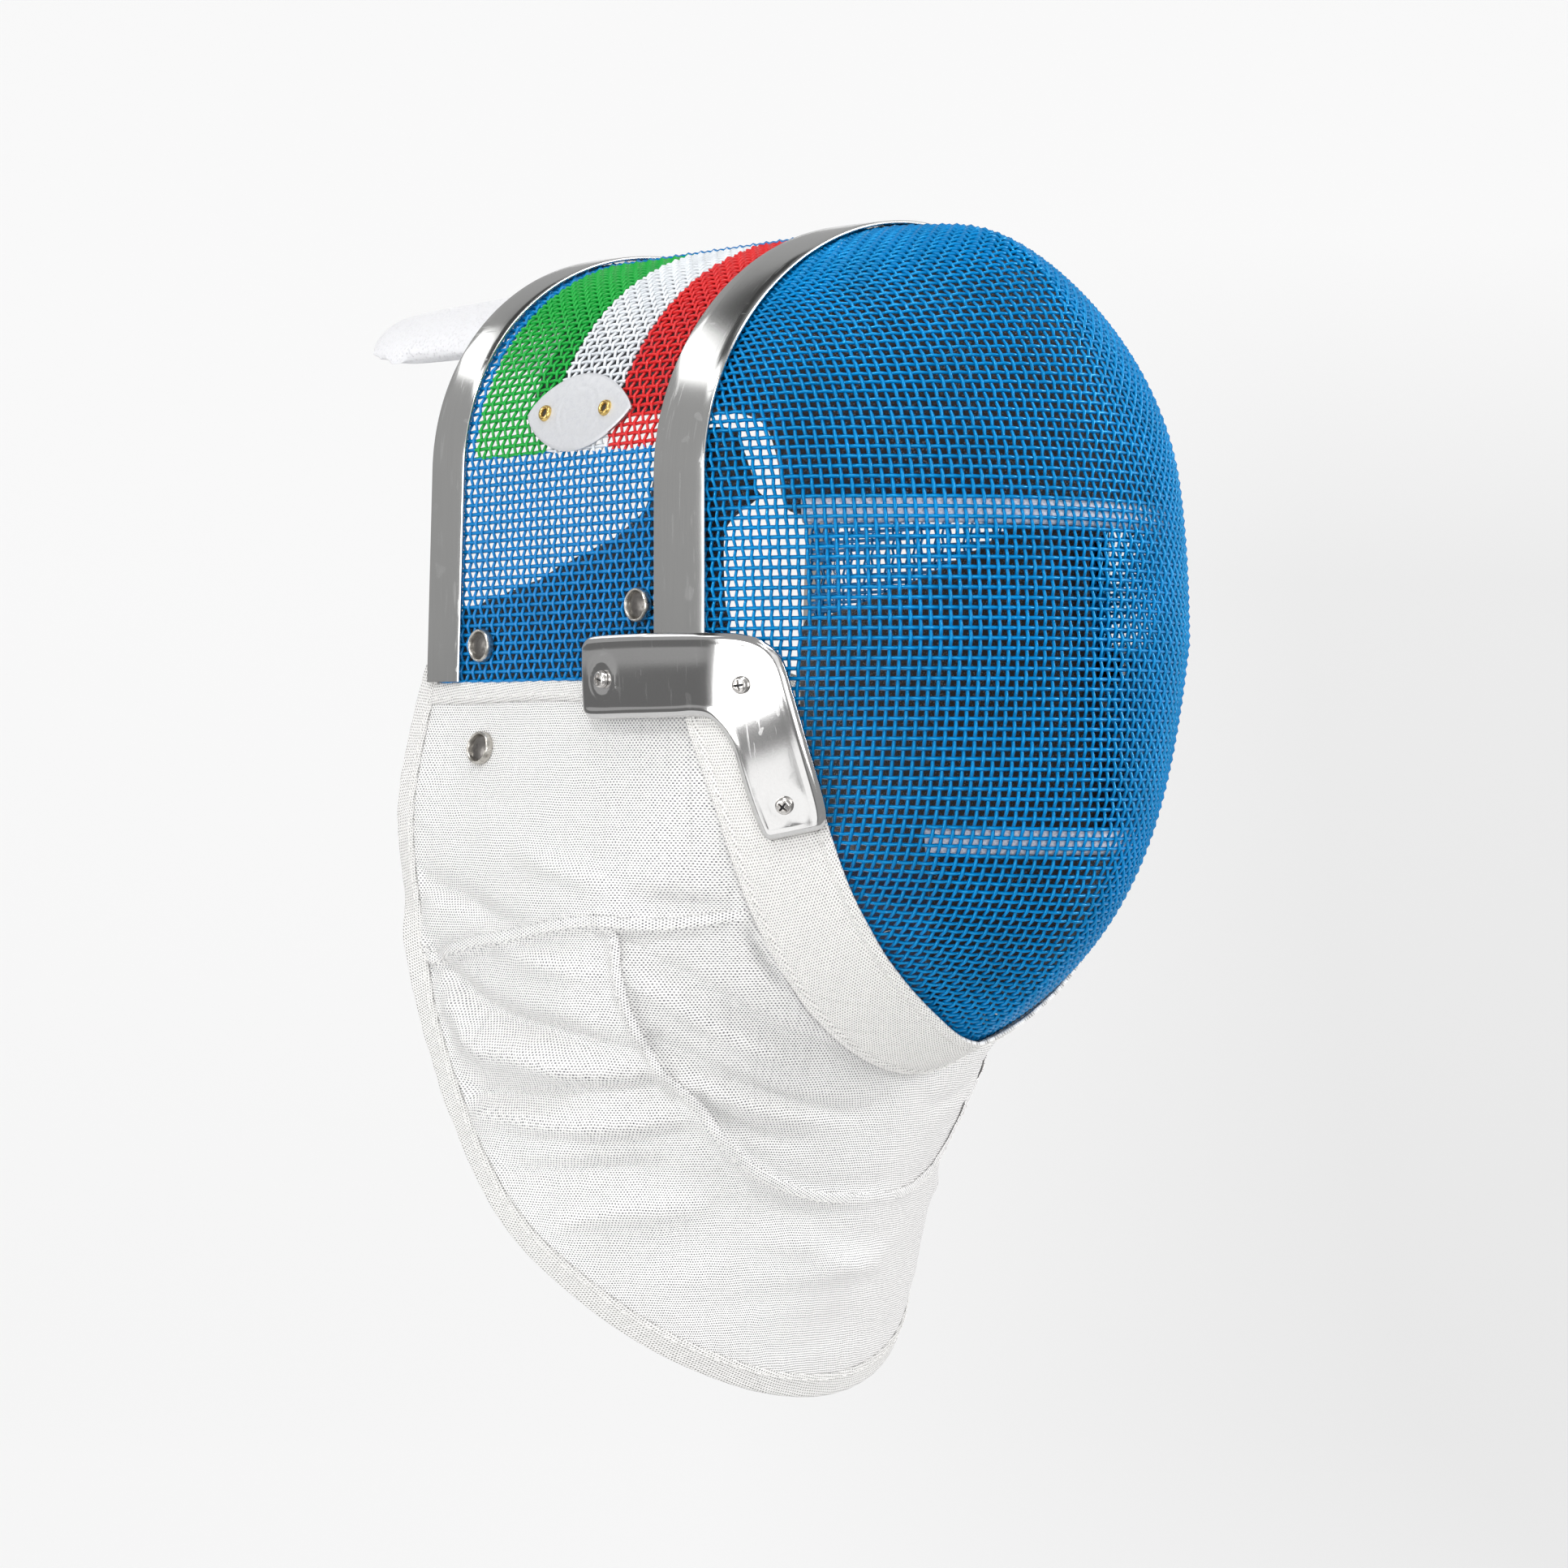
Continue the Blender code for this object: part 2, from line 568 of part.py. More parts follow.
def wall_normal(y, z, inset):
    """Outward normal of the left side at (y, z)."""
    step = 1.0 * MM
    slope_y = (side_x(y + step, z, inset) - side_x(y - step, z, inset)) / (2 * step)
    slope_z = (side_x(y, z + step, inset) - side_x(y, z - step, inset)) / (2 * step)
    return Vector((1, -slope_y, -slope_z)).normalized()


def on_side(side, y, z, lift):
    """A place and a normal on the mask's side, lift metres outside the mesh's middle."""
    normal = wall_normal(y, z, MESH_INSET)
    place = Vector((side_x(y, z, MESH_INSET), y, z)) + normal * lift
    return (side * place.x, place.y, place.z), (side * normal.x, normal.y, normal.z)


# name, y back from the front band's plane and z over the chin strap line, in millimetres
SCREWS = (
    ("rear", 42.4, 28.6),
    ("elbow", -15.8, 26.4),
    ("lower", -22.4, -9.0),
)
SNAPS = (
    ("rear", 111.4, 40.4),
    ("front", 30.4, 51.5),
)
BIB_SNAP = (110.3, 7.1)


def make_small_hardware(parts):
    pan_head = ((0, 2.1), (1.7, 1.95), (2.9, 1.2), (3.4, 0.0), (0, 0.0))
    snap_cap = ((0, 1.8), (3.0, 1.8), (4.4, 2.6), (5.4, 1.7), (5.5, 0.0), (0, 0.0))
    pan_head = [(r * MM, h * MM) for r, h in pan_head]
    snap_cap = [(r * MM, h * MM) for r, h in snap_cap]
    for side, label in ((-1, "right"), (1, "left")):
        for name, y, z in SCREWS:
            lift = PLATE_LIFT + PLATE_THICK / 2 + GAP
            place, normal = on_side(side, y * MM + FRONT_Y, z * MM - SEAT_Z, lift)
            turned("plate_screw_%s_%s" % (name, label), pan_head, 10, place, normal,
                   "cap_steel", parts)
        for name, y, z in SNAPS:
            lift = MESH_THICK / 2 + GAP
            place, normal = on_side(side, y * MM + FRONT_Y, z * MM - SEAT_Z, lift)
            turned("snap_cap_%s_%s" % (name, label), snap_cap, 12, place, normal,
                   "cap_steel", parts)
        place, normal = on_bib(side, BIB_SNAP[0] * MM + FRONT_Y, BIB_SNAP[1] * MM - SEAT_Z,
                               CLOTH_THICK / 2 + GAP)
        turned("snap_cap_bib_%s" % label, snap_cap, 12, place, normal, "cap_steel", parts)


def make_label_plate(parts):
    """The blank lens-shaped plate on the wearer's right, with its two eyelets."""
    front, rear, middle_z = 38.8, 89.6, 113.6
    half_height, lift = 12.3, 1.35 * MM
    rows, columns = 13, 3
    vertices = []
    for i in range(rows):
        share = i / (rows - 1)
        y = front + (rear - front) * share
        reach = np.sin(pi * np.clip(share, 0.02, 0.985) ** 1.12) ** 0.78
        for k in range(columns):
            z = middle_z + half_height * max(reach, 0.08) * (2 * k / (columns - 1) - 1)
            place, _ = on_side(-1, y * MM + FRONT_Y, z * MM - SEAT_Z, lift + 0.4 * MM)
            vertices.append(place)
    thing = add_object("label_plate", vertices, grid_faces(rows, columns), "label_alloy", parts)
    thicken(thing, 0.8 * MM)
    eyelet = ((0, 0.35), (1.5, 0.5), (2.7, 0.9), (3.2, 0.0), (0, 0.0))
    for name, y in (("front", 50.6), ("rear", 80.4)):
        place, normal = on_side(-1, y * MM + FRONT_Y, 113.8 * MM - SEAT_Z, lift + 1.15 * MM)
        turned("label_eyelet_%s" % name, [(r * MM, h * MM) for r, h in eyelet], 10, place,
               normal, "brass", parts)


def liner_line(x, low_z, back_end, inset, count):
    """Where the upright plane at x cuts the inside of the mask, from low_z up and back."""
    line = []
    for turn in np.linspace(0, pi / 2, 24, endpoint=False):
        near, far = 0.0, 0.2
        for _ in range(40):
            reach = (near + far) / 2
            z = low_z + reach * sin(turn)
            forward = reach * cos(turn)
            under = z < crown_height(x, FRONT_Y, inset)
            inside = under and forward < face_forward(x, z, inset)
            near, far = (reach, far) if inside else (near, reach)
        line.append((x, FRONT_Y - near * cos(turn), low_z + near * sin(turn)))
    for back in np.linspace(0, back_end, 12):
        y = FRONT_Y + back
        narrow = crown_share(y) * (FACE_HALF_WIDTH - REAR_HALF_WIDTH) / FACE_HALF_WIDTH
        line.append((x * (1 - narrow), y, crown_height(x * (1 - narrow), y, inset)))
    return spread_evenly(np.array(line), count)


def make_forehead_pad(parts):
    """From the brow up over the top and back under the crown."""
    rows, columns, inset = 13, 12, MESH_INSET + MESH_THICK / 2 + PAD_GAP
    brow, back_end, half = 81.5 * MM - SEAT_Z, 98 * MM, 86 * MM
    columns_x = half * np.sin(np.linspace(-pi / 2, pi / 2, columns) * 0.94) / sin(pi / 2 * 0.94)
    lines = [liner_line(x, brow, back_end, inset, rows) for x in columns_x]
    vertices = np.array(lines).transpose(1, 0, 2).reshape(-1, 3)
    thing = add_object("forehead_pad", vertices, grid_faces(rows, columns), "charcoal_pad",
                       parts)
    thicken(thing, HEAD_PAD_THICK, offset=-1.0)


# The cheek pad's outline on the side, rows from the top: z, then its front and rear ends as y
# back from the front band's plane, in millimetres.
CHEEK_ROWS = (
    # z     front  rear
    (108.0, -2.5,  22.0),
    (103.0, -6.5,  26.0),
    (97.0,  -9.5,  30.0),
    (84.0, -15.0,  36.0),
    (79.0,  -6.0,  44.0),
    (75.0,   1.0,  54.0),
    (65.0,   1.5,  84.0),
    (57.0,   1.0, 112.0),
    (53.0,   0.5, 130.0),
    (38.0,  -1.0, 132.0),
    (18.0,  -6.0, 131.0),
    (-2.0, -13.0, 127.0),
    (-20.0, -19.0, 118.0),
    (-36.0, -22.0, 94.0),
)


def make_cheek_pad(name, side, parts):
    columns, inset = 9, MESH_INSET + MESH_THICK / 2 + PAD_GAP
    vertices = []
    for z_mm, front, rear in CHEEK_ROWS:
        z = z_mm * MM - SEAT_Z
        for share in np.linspace(0, 1, columns):
            y = (front + (rear - front) * share) * MM + FRONT_Y
            vertices.append((side * side_x(y, z, inset), y, z))
    rows = len(CHEEK_ROWS)
    thing = add_object(name, vertices, grid_faces(rows, columns, flip=side > 0),
                       "charcoal_pad", parts)
    thicken(thing, 8.0 * MM, offset=-1.0)


def make_chin_pad(parts):
    """The pad inside the jaw, from below the mouth down to the chin."""
    rows, columns, inset = 6, 11, MESH_INSET + MESH_THICK / 2 + PAD_GAP
    vertices = []
    for z_mm in np.linspace(-24.0, -80.0, rows):
        z = z_mm * MM - SEAT_Z
        half = rim_half_width(z, inset)
        power = section_power(z)
        for share in np.linspace(-0.5, 0.5, columns):
            turn = share * pi / 2
            x = half * signed_power(sin(turn), 2 / power)
            y = FRONT_Y - face_depth(z, inset) * cos(turn) ** (2 / power)
            vertices.append((x, y, z))
    thing = add_object("chin_pad", vertices, grid_faces(rows, columns), "charcoal_pad", parts)
    thicken(thing, 8.0 * MM, offset=1.0)


def make_rear_tongue(parts):
    """The padded tongue: it leaves the crown's rear and reaches back behind the head."""
    length_rows = (
        # y      z     half_width  thickness (mm)
        (103.0, 164.8, 24.0,  8.0),
        (108.0, 165.0, 31.0, 10.5),
        (124.0, 165.6, 33.0, 12.0),
        (160.0, 166.4, 34.0, 12.5),
        (195.0, 166.2, 35.0, 12.0),
        (222.0, 165.2, 35.0, 11.0),
        (237.0, 164.2, 31.0,  9.5),
        (244.5, 163.0, 24.0,  7.5),
        (247.5, 161.8, 14.0,  5.0),
    )
    turns, droop = 16, 22.0 * MM
    vertices, faces = [], []
    for y, z, half, thick in length_rows:
        for k in range(turns):
            angle = 2 * pi * k / turns
            x = half * MM * cos(angle)
            pad = thick * MM / 2 * signed_power(sin(angle), 0.6)
            sag = droop * (x / (36 * MM)) ** 2
            vertices.append((x, y * MM + FRONT_Y, (z - thick / 2) * MM - SEAT_Z - sag + pad))
    for i in range(len(length_rows) - 1):
        for k in range(turns):
            a, b = i * turns + k, i * turns + (k + 1) % turns
            faces.append((a, b, b + turns, a + turns))
    faces.append(tuple(range(turns)))
    faces.append(tuple(range(len(vertices) - turns, len(vertices))))
    add_object("rear_tongue", vertices, faces, "white_pad", parts, closed=True)


def main():
    clear_scene()
    parts = bpy.data.collections.get("fencing_mask") or bpy.data.collections.new("fencing_mask")
    if parts.name not in bpy.context.scene.collection.children:
        bpy.context.scene.collection.children.link(parts)
    make_front_mesh(parts)
    make_crown_mesh(parts)
    make_bands(parts)
    make_bib(parts)
    make_bib_trim(parts)
    make_bib_binding(parts)
    for name, side in (("right", -1), ("left", 1)):
        make_side_plate("side_plate_%s" % name, side, parts)
        make_cheek_pad("cheek_pad_%s" % name, side, parts)
    make_small_hardware(parts)
    make_label_plate(parts)
    make_forehead_pad(parts)
    make_chin_pad(parts)
    make_rear_tongue(parts)
    bpy.context.view_layer.update()


main()
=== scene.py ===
"""The detailed scene of a sabre fencing mask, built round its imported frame.

Metres, +Z up.  The face looks along -Y, +X is the wearer's left, and the origin is the crown
seat.  The shapes follow the same named values as the part's source.
"""
import bpy
import bmesh
import numpy as np
from math import pi, radians, sin, cos
from mathutils import Matrix, Vector, noise
from mathutils.bvhtree import BVHTree


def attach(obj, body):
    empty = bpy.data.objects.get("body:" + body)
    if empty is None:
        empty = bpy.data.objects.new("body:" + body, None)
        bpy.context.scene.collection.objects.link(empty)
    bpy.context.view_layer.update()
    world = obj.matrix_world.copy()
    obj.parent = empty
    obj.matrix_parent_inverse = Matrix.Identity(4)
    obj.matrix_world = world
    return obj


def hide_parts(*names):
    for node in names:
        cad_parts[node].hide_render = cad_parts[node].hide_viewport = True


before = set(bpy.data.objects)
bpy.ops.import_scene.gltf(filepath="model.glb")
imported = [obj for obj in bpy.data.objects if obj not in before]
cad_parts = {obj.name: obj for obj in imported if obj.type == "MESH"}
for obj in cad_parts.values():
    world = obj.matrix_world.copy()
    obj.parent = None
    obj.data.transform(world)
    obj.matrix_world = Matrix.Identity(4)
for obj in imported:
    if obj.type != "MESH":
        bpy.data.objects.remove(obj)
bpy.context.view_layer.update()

MM = 0.001

# ---- driving dimensions, as in the part's source -----------------------------------------
SEAT_Z = 160.0 * MM
FRONT_Y = -60.0 * MM
FACE_HALF_WIDTH = 95.5 * MM
FACE_TOP = 176.9 * MM - SEAT_Z
FACE_SPRING = 92.3 * MM - SEAT_Z
FACE_ARCH_POWER = 1.9
FACE_EAR = 33.5 * MM - SEAT_Z
FACE_CHIN = -97.3 * MM - SEAT_Z
FACE_CHIN_POWER = 1.81
FACE_DEPTH = 87.3 * MM
FACE_NOSE = 21.6 * MM - SEAT_Z
BROW_POWER = 2.79
JAW_POWER = 3.36
JAW_TUCK = 1.16
SECTION_POWER = 1.92
SECTION_POWER_TOP = 1.21
SECTION_POWER_CHIN = 1.28
SECTION_RISE_TOP = 2.37
SECTION_RISE_CHIN = 0.79
FRONT_BAND_WIDTH = 22.6 * MM
REAR_BAND_WIDTH = 15.8 * MM
REAR_Y = FRONT_Y + 136.3 * MM
REAR_HALF_WIDTH = 88.3 * MM
REAR_TOP = 174.3 * MM - SEAT_Z
REAR_SPRING = 98.6 * MM - SEAT_Z
REAR_ARCH_POWER = 2.04
REAR_LEAN = 0.039
BAND_THICK = 1.2 * MM
BAND_FOOT = 28.8 * MM - SEAT_Z
MESH_INSET = 2.6 * MM
MESH_THICK = 2.0 * MM
CLOTH_THICK = 1.8 * MM
TRIM_THICK = 1.2 * MM
TRIM_WIDTH = 34.5 * MM
TRIM_END_WIDTH = 15.0 * MM
TRIM_CHIN_CUT = 5.0 * MM
TRIM_OVERLAP = 1.4 * MM
TRIM_EAR_OVERLAP = 8.5 * MM
PLATE_THICK = 1.5 * MM
PLATE_LIFT = 6.1 * MM
PAD_GAP = 1.6 * MM
GAP = 0.4 * MM
BIB_INSET = 3.4 * MM
BINDING_WIDTH = 4.6 * MM
BINDING_REACH = 2.0 * MM
COLLAR = 10.5 * MM             # the face mesh runs this far back under the front band

# ---- the woven wire ----------------------------------------------------------------------
PITCH = 3.1 * MM
WIRE_RADIUS = 0.64 * MM
WIRE_SIDES = 4
CRIMP_STEPS = 2                # points that a wire has from one crossing to the next
STEEP_CRIMP = 0.56 * MM        # how far the crimped wires swing, and the straighter ones
FLAT_CRIMP = 0.36 * MM
NET_CELLS = (62, 78, 62)       # across half of the face, and up and down from the nose
NET_TRIES = 7                  # how often each crossing is set right as the net is laid,
NET_ROUNDS = 30                # and then the whole net
CROWN_START = 11.6 * MM        # how far the crown's wires reach under the two bands
CROWN_END = 5.0 * MM


# ---- small helpers -------------------------------------------------------------------------
def smooth_table(rows, count):
    """Rows of numbers joined by a smooth curve and spread evenly along it."""
    rows = np.array(rows, float)
    padded = np.vstack([2 * rows[0] - rows[1], rows, 2 * rows[-1] - rows[-2]])
    fine = []
    for i in range(len(rows) - 1):
        p0, p1, p2, p3 = padded[i:i + 4]
        for t in np.linspace(0, 1, 24, endpoint=False):
            fine.append(0.5 * (2 * p1 + (p2 - p0) * t + (2 * p0 - 5 * p1 + 4 * p2 - p3) * t * t
                               + (3 * p1 - p0 - 3 * p2 + p3) * t ** 3))
    fine.append(rows[-1])
    return spread_evenly(np.array(fine), count)


def run_length(curve):
    """How far along a curve each of its points lies; columns past the third don't count."""
    return np.r_[0, np.cumsum(np.linalg.norm(np.diff(curve[:, :3], axis=0), axis=1))]


def walk(curve, length, places):
    """Points of a curve at the given places along its length."""
    return np.stack([np.interp(places, length, curve[:, k]) for k in range(curve.shape[1])], 1)


def spread_evenly(curve, count):
    length = run_length(curve)
    return walk(curve, length, np.linspace(0, length[-1], count))


def soften(curve, passes):
    """Smooths a curve in place, with its ends held."""
    for _ in range(passes):
        curve[1:-1] = (curve[:-2] + curve[1:-1] * 2 + curve[2:]) / 4


def unit(vectors):
    return vectors / (np.linalg.norm(vectors, axis=-1, keepdims=True) + 1e-12)


def grid_normals(points, outward_from):
    """Normals of a grid of points, turned away from a place inside."""
    normals = unit(np.cross(np.gradient(points, axis=0), np.gradient(points, axis=1)))
    side = np.sign(((points - np.array(outward_from)) * normals).sum(-1))
    return normals * side[..., None]


def smooth_step(value):
    value = np.clip(value, 0, 1)
    return value * value * (3 - 2 * value)


def bump(value):
    """A bell curve, 1 at 0."""
    return np.exp(-value ** 2)


def rounded(share, power):
    """The height of a superellipse's quarter, from 1 at share 0 down to 0 at share 1."""
    return (1 - share ** power) ** (1 / power)


def add_object(name, data):
    thing = bpy.data.objects.new(name, data)
    bpy.context.scene.collection.objects.link(thing)
    return thing


def link(mesh, name, material):
    """Adds a smooth-shaded piece that rides on the mask."""
    thing = add_object(name, mesh)
    mesh.materials.append(material)
    mesh.shade_smooth()
    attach(thing, "root")
    return thing


def make_mesh(name, vertices, faces, uv=None):
    mesh = bpy.data.meshes.new(name)
    mesh.from_pydata(np.asarray(vertices).reshape(-1, 3).tolist(), [],
                     faces if isinstance(faces, list) else faces.tolist())
    if uv is not None:
        layer = mesh.uv_layers.new(name="UVMap")
        corner = np.empty(len(mesh.loops), dtype=np.int32)
        mesh.loops.foreach_get("vertex_index", corner)
        layer.data.foreach_set("uv", np.asarray(uv).reshape(-1, 2)[corner].ravel())
    mesh.update()
    return mesh


def grid_faces(rows, columns, wrap=False, flip=False):
    i, j = np.meshgrid(np.arange(rows - 1), np.arange(columns if wrap else columns - 1),
                       indexing="ij")
    a = i * columns + j
    b = i * columns + (j + 1) % columns
    quads = np.stack([a, b, b + columns, a + columns], -1).reshape(-1, 4)
    return quads[:, ::-1] if flip else quads


def grid_piece(name, points, material, thick, uv=None, flip=False):
    """A sheet over a grid of middle points."""
    rows, columns = points.shape[:2]
    mesh = make_mesh(name, points, grid_faces(rows, columns, flip=flip), uv)
    thing = link(mesh, name, material)
    wall = thing.modifiers.new("wall", "SOLIDIFY")
    wall.thickness, wall.offset, wall.use_even_offset = thick, 0.0, False
    return thing


def tubes(runs, sides):
    """Vertices and faces of closed tubes.  A run is (centres, normals, radius)."""
    vertices, faces, start = [], [], 0
    turn = np.arange(sides) * 2 * pi / sides
    for centres, normals, radius in runs:
        along = unit(np.gradient(centres, axis=0))
        up = unit(normals - (normals * along).sum(1)[:, None] * along)
        across = np.cross(along, up)
        radius = np.broadcast_to(radius, len(centres))[:, None, None]
        ring = (up[:, None] * np.cos(turn)[None, :, None]
                + across[:, None] * np.sin(turn)[None, :, None])
        vertices.append((centres[:, None] + ring * radius).reshape(-1, 3))
        count = len(centres)
        faces += (grid_faces(count, sides, wrap=True) + start).tolist()
        faces.append(list(range(start, start + sides)))
        faces.append(list(range(start + (count - 1) * sides, start + count * sides))[::-1])
        start += count * sides
    return np.vstack(vertices), faces


# ---- the mask's surfaces ---------------------------------------------------------------------
# Each takes an inset: how far the wanted surface lies inside the mask's outer one.
def rim_half_width(z, inset):
    up = np.clip((z - FACE_SPRING) / (FACE_TOP - inset - FACE_SPRING), 0, 1)
    down = np.clip((FACE_EAR - z) / (FACE_EAR - FACE_CHIN - inset), 0, 1)
    share = rounded(up, FACE_ARCH_POWER) * rounded(down, FACE_CHIN_POWER)
    return (FACE_HALF_WIDTH - inset) * share


def face_depth(z, inset):
    up = np.clip((z - FACE_NOSE) / (FACE_TOP - inset - FACE_NOSE), 0, 1)
    down = np.clip((FACE_NOSE - z) / (FACE_NOSE - FACE_CHIN - inset), 0, 1)
    jaw = (1 - down ** JAW_POWER) ** (1 / JAW_TUCK)
    return (FACE_DEPTH - inset) * rounded(up, BROW_POWER) * jaw


def section_power(z):
    """How full the dome's level sections are at a height."""
    middle = (FACE_TOP + FACE_CHIN) / 2
    reach = (FACE_TOP - FACE_CHIN) / 2
    up = np.clip((z - middle) / reach, 0, 1) ** SECTION_RISE_TOP
    down = np.clip((middle - z) / reach, 0, 1) ** SECTION_RISE_CHIN
    return (SECTION_POWER + (SECTION_POWER_TOP - SECTION_POWER) * up
            + (SECTION_POWER_CHIN - SECTION_POWER) * down)


def face_forward(x, z, inset):
    across = np.clip(np.abs(x) / np.maximum(rim_half_width(z, inset), 1e-9), 0, 1)
    return face_depth(z, inset) * rounded(across, section_power(z))


def rim_points(angles, inset):
    """The rim as seen from the nose: angle 0 at the wearer's left, 90 degrees at the top."""
    way = np.stack([np.cos(angles), np.sin(angles)], 1)
    low, high = np.zeros(len(angles)), np.full(len(angles), 0.3)
    for _ in range(46):
        reach = (low + high) / 2
        x, z = way[:, 0] * reach, way[:, 1] * reach + FACE_NOSE
        inside = (z > FACE_CHIN + inset) & (z < FACE_TOP - inset)
        inside &= np.abs(x) < rim_half_width(z, inset)
        low, high = np.where(inside, reach, low), np.where(inside, high, reach)
    return way * low[:, None] + (0.0, FACE_NOSE)


def face_spokes(angles, inset, count=60):
    """Lines on the dome from the nose out to the rim, one for each angle."""
    rim = rim_points(np.asarray(angles), inset)
    share = np.sin(np.linspace(0, pi / 2, count))
    x = rim[:, :1] * share
    z = FACE_NOSE + (rim[:, 1:] - FACE_NOSE) * share
    y = FRONT_Y - face_forward(x, z, inset)
    y[:, -1] = FRONT_Y
    return np.stack([x, y, z], -1)


def rear_half_width(z, inset):
    up = np.clip((z - REAR_SPRING) / (REAR_TOP - inset - REAR_SPRING), 0, 1)
    return (REAR_HALF_WIDTH - inset) * rounded(up, REAR_ARCH_POWER)


def crown_share(y):
    """0 at the crown's front end and 1 at its rear end."""
    start = FRONT_Y + FRONT_BAND_WIDTH
    return np.clip((y - start) / (REAR_Y - REAR_BAND_WIDTH - start), 0, 1)


def side_x(y, z, inset):
    """The mask's half width at a depth and a height, on the face and on the crown."""
    forward = np.maximum(FRONT_Y - y, 0)
    share = np.clip(forward / face_depth(z, inset), 0, 1)
    dome = rim_half_width(z, inset) * rounded(share, section_power(z))
    back = crown_share(y)
    wall = rim_half_width(z, inset) * (1 - back) + rear_half_width(z, inset) * back
    return np.where(y < FRONT_Y, dome, wall)


def arch(half_width, spring, top, power, foot, count):
    """A band's line from foot to foot over the crown, as (x, z) rows."""
    turn = np.linspace(0, pi / 2, 200)
    x = -half_width * np.cos(turn).clip(0) ** (2 / power)
    z = spring + (top - spring) * np.sin(turn) ** (2 / power)
    half = np.vstack([[(-half_width, foot)], np.stack([x, z], 1)])
    return spread_evenly(np.vstack([half, (half * (-1, 1))[::-1][1:]]), count)


def front_arch(inset, foot, count):
    return arch(FACE_HALF_WIDTH - inset, FACE_SPRING, FACE_TOP - inset, FACE_ARCH_POWER,
                foot, count)


def rear_arch(inset, foot, count):
    return arch(REAR_HALF_WIDTH - inset, REAR_SPRING, REAR_TOP - inset, REAR_ARCH_POWER,
                foot, count)


def rear_lean(z):
    return -REAR_LEAN * (z - REAR_SPRING)


def on_side(side, y, z, lift):
    """A place and a normal on the mask's side, lift metres outside the mesh's middle."""
    y, z = np.asarray(y, float), np.asarray(z, float)
    step = 1.0 * MM
    slope_y = (side_x(y + step, z, MESH_INSET) - side_x(y - step, z, MESH_INSET)) / (2 * step)
    slope_z = (side_x(y, z + step, MESH_INSET) - side_x(y, z - step, MESH_INSET)) / (2 * step)
    normal = unit(np.stack([np.ones_like(slope_y), -slope_y, -slope_z], -1))
    place = np.stack([side_x(y, z, MESH_INSET), y, z], -1) + normal * np.asarray(lift)[..., None]
    flip = np.array([side, 1, 1])
    return place * flip, normal * flip


# ---- materials -------------------------------------------------------------------------------
class Finish:
    """A small builder for node materials."""

    def __init__(self, name, colour=(0.8, 0.8, 0.8), **settings):
        self.material = bpy.data.materials.new(name)
        self.material.use_nodes = True
        self.tree = self.material.node_tree
        self.shader = self.tree.nodes["Principled BSDF"]
        self.shader.inputs["Base Color"].default_value = (*colour, 1)
        for key, value in settings.items():
            self.shader.inputs[key.replace("_", " ")].default_value = value
        self.coords = self.tree.nodes.new("ShaderNodeTexCoord")

    def node(self, kind, inputs=(), **settings):
        made = self.tree.nodes.new("ShaderNode" + kind)
        for key, value in settings.items():
            setattr(made, key, value)
        for key, value in dict(inputs).items():
            self.feed(made.inputs[key], value)
        return made

    def feed(self, socket, value):
        if isinstance(value, bpy.types.NodeSocket):
            self.tree.links.new(value, socket)
        elif isinstance(value, bpy.types.Node):
            self.tree.links.new(value.outputs[0], socket)
        elif hasattr(value, "__len__") and len(value) == 3 and socket.type == "RGBA":
            socket.default_value = (*value, 1)
        else:
            socket.default_value = value

    def place(self, stretch=(1, 1, 1), source="Object"):
        made = self.node("Mapping", {"Vector": self.coords.outputs[source], "Scale": stretch})
        return made.outputs[0]

    def noise(self, scale, stretch=(1, 1, 1), detail=3.0, source="Object", rough=0.55):
        made = self.node("TexNoise", {"Vector": self.place(stretch, source), "Scale": scale,
                                      "Detail": detail, "Roughness": rough})
        return made.outputs["Fac"]

    def fit(self, value, low, high, to_low=0.0, to_high=1.0):
        made = self.node("MapRange", {"Value": value, "From Min": low, "From Max": high,
                                      "To Min": to_low, "To Max": to_high})
        return made.outputs[0]

    def blend(self, share, first, second):
        made = self.node("Mix", data_type="RGBA", blend_type="MIX")
        for key, value in ((0, share), (6, first), (7, second)):
            self.feed(made.inputs[key], value)
        return made.outputs[2]

    def sums(self, operation, *values):
        made = self.node("Math", operation=operation)
        for k, value in enumerate(values):
            self.feed(made.inputs[k], value)
        return made.outputs[0]

    def times(self, *values):
        return self.sums("MULTIPLY", *values)

    def plus(self, *values):
        return self.sums("ADD", *values)

    def bump(self, height, distance):
        made = self.node("Bump", {"Height": height, "Distance": distance, "Strength": 1.0})
        self.feed(self.shader.inputs["Normal"], made)

    def set(self, key, value):
        self.feed(self.shader.inputs[key], value)


BLUE = (0.0, 0.20, 0.52)
PAINT_SHINE = (0.12, 0.72, 1.0, 1.0)   # what the blue paint's highlights are tinted with
# The crown's stripes: how far behind the face's rim each starts, and its colour.
STRIPES = ((0, (0.64, 0.02, 0.022)), (48.4 * MM, (0.74, 0.77, 0.80)),
           (79.6 * MM, (0.008, 0.36, 0.045)), (117.0 * MM, BLUE))
STRIPES_FOOT = 101.5 * MM - SEAT_Z     # they end at this height,
STRIPES_GAP = 26 * MM                  # and this far from the crown's middle line


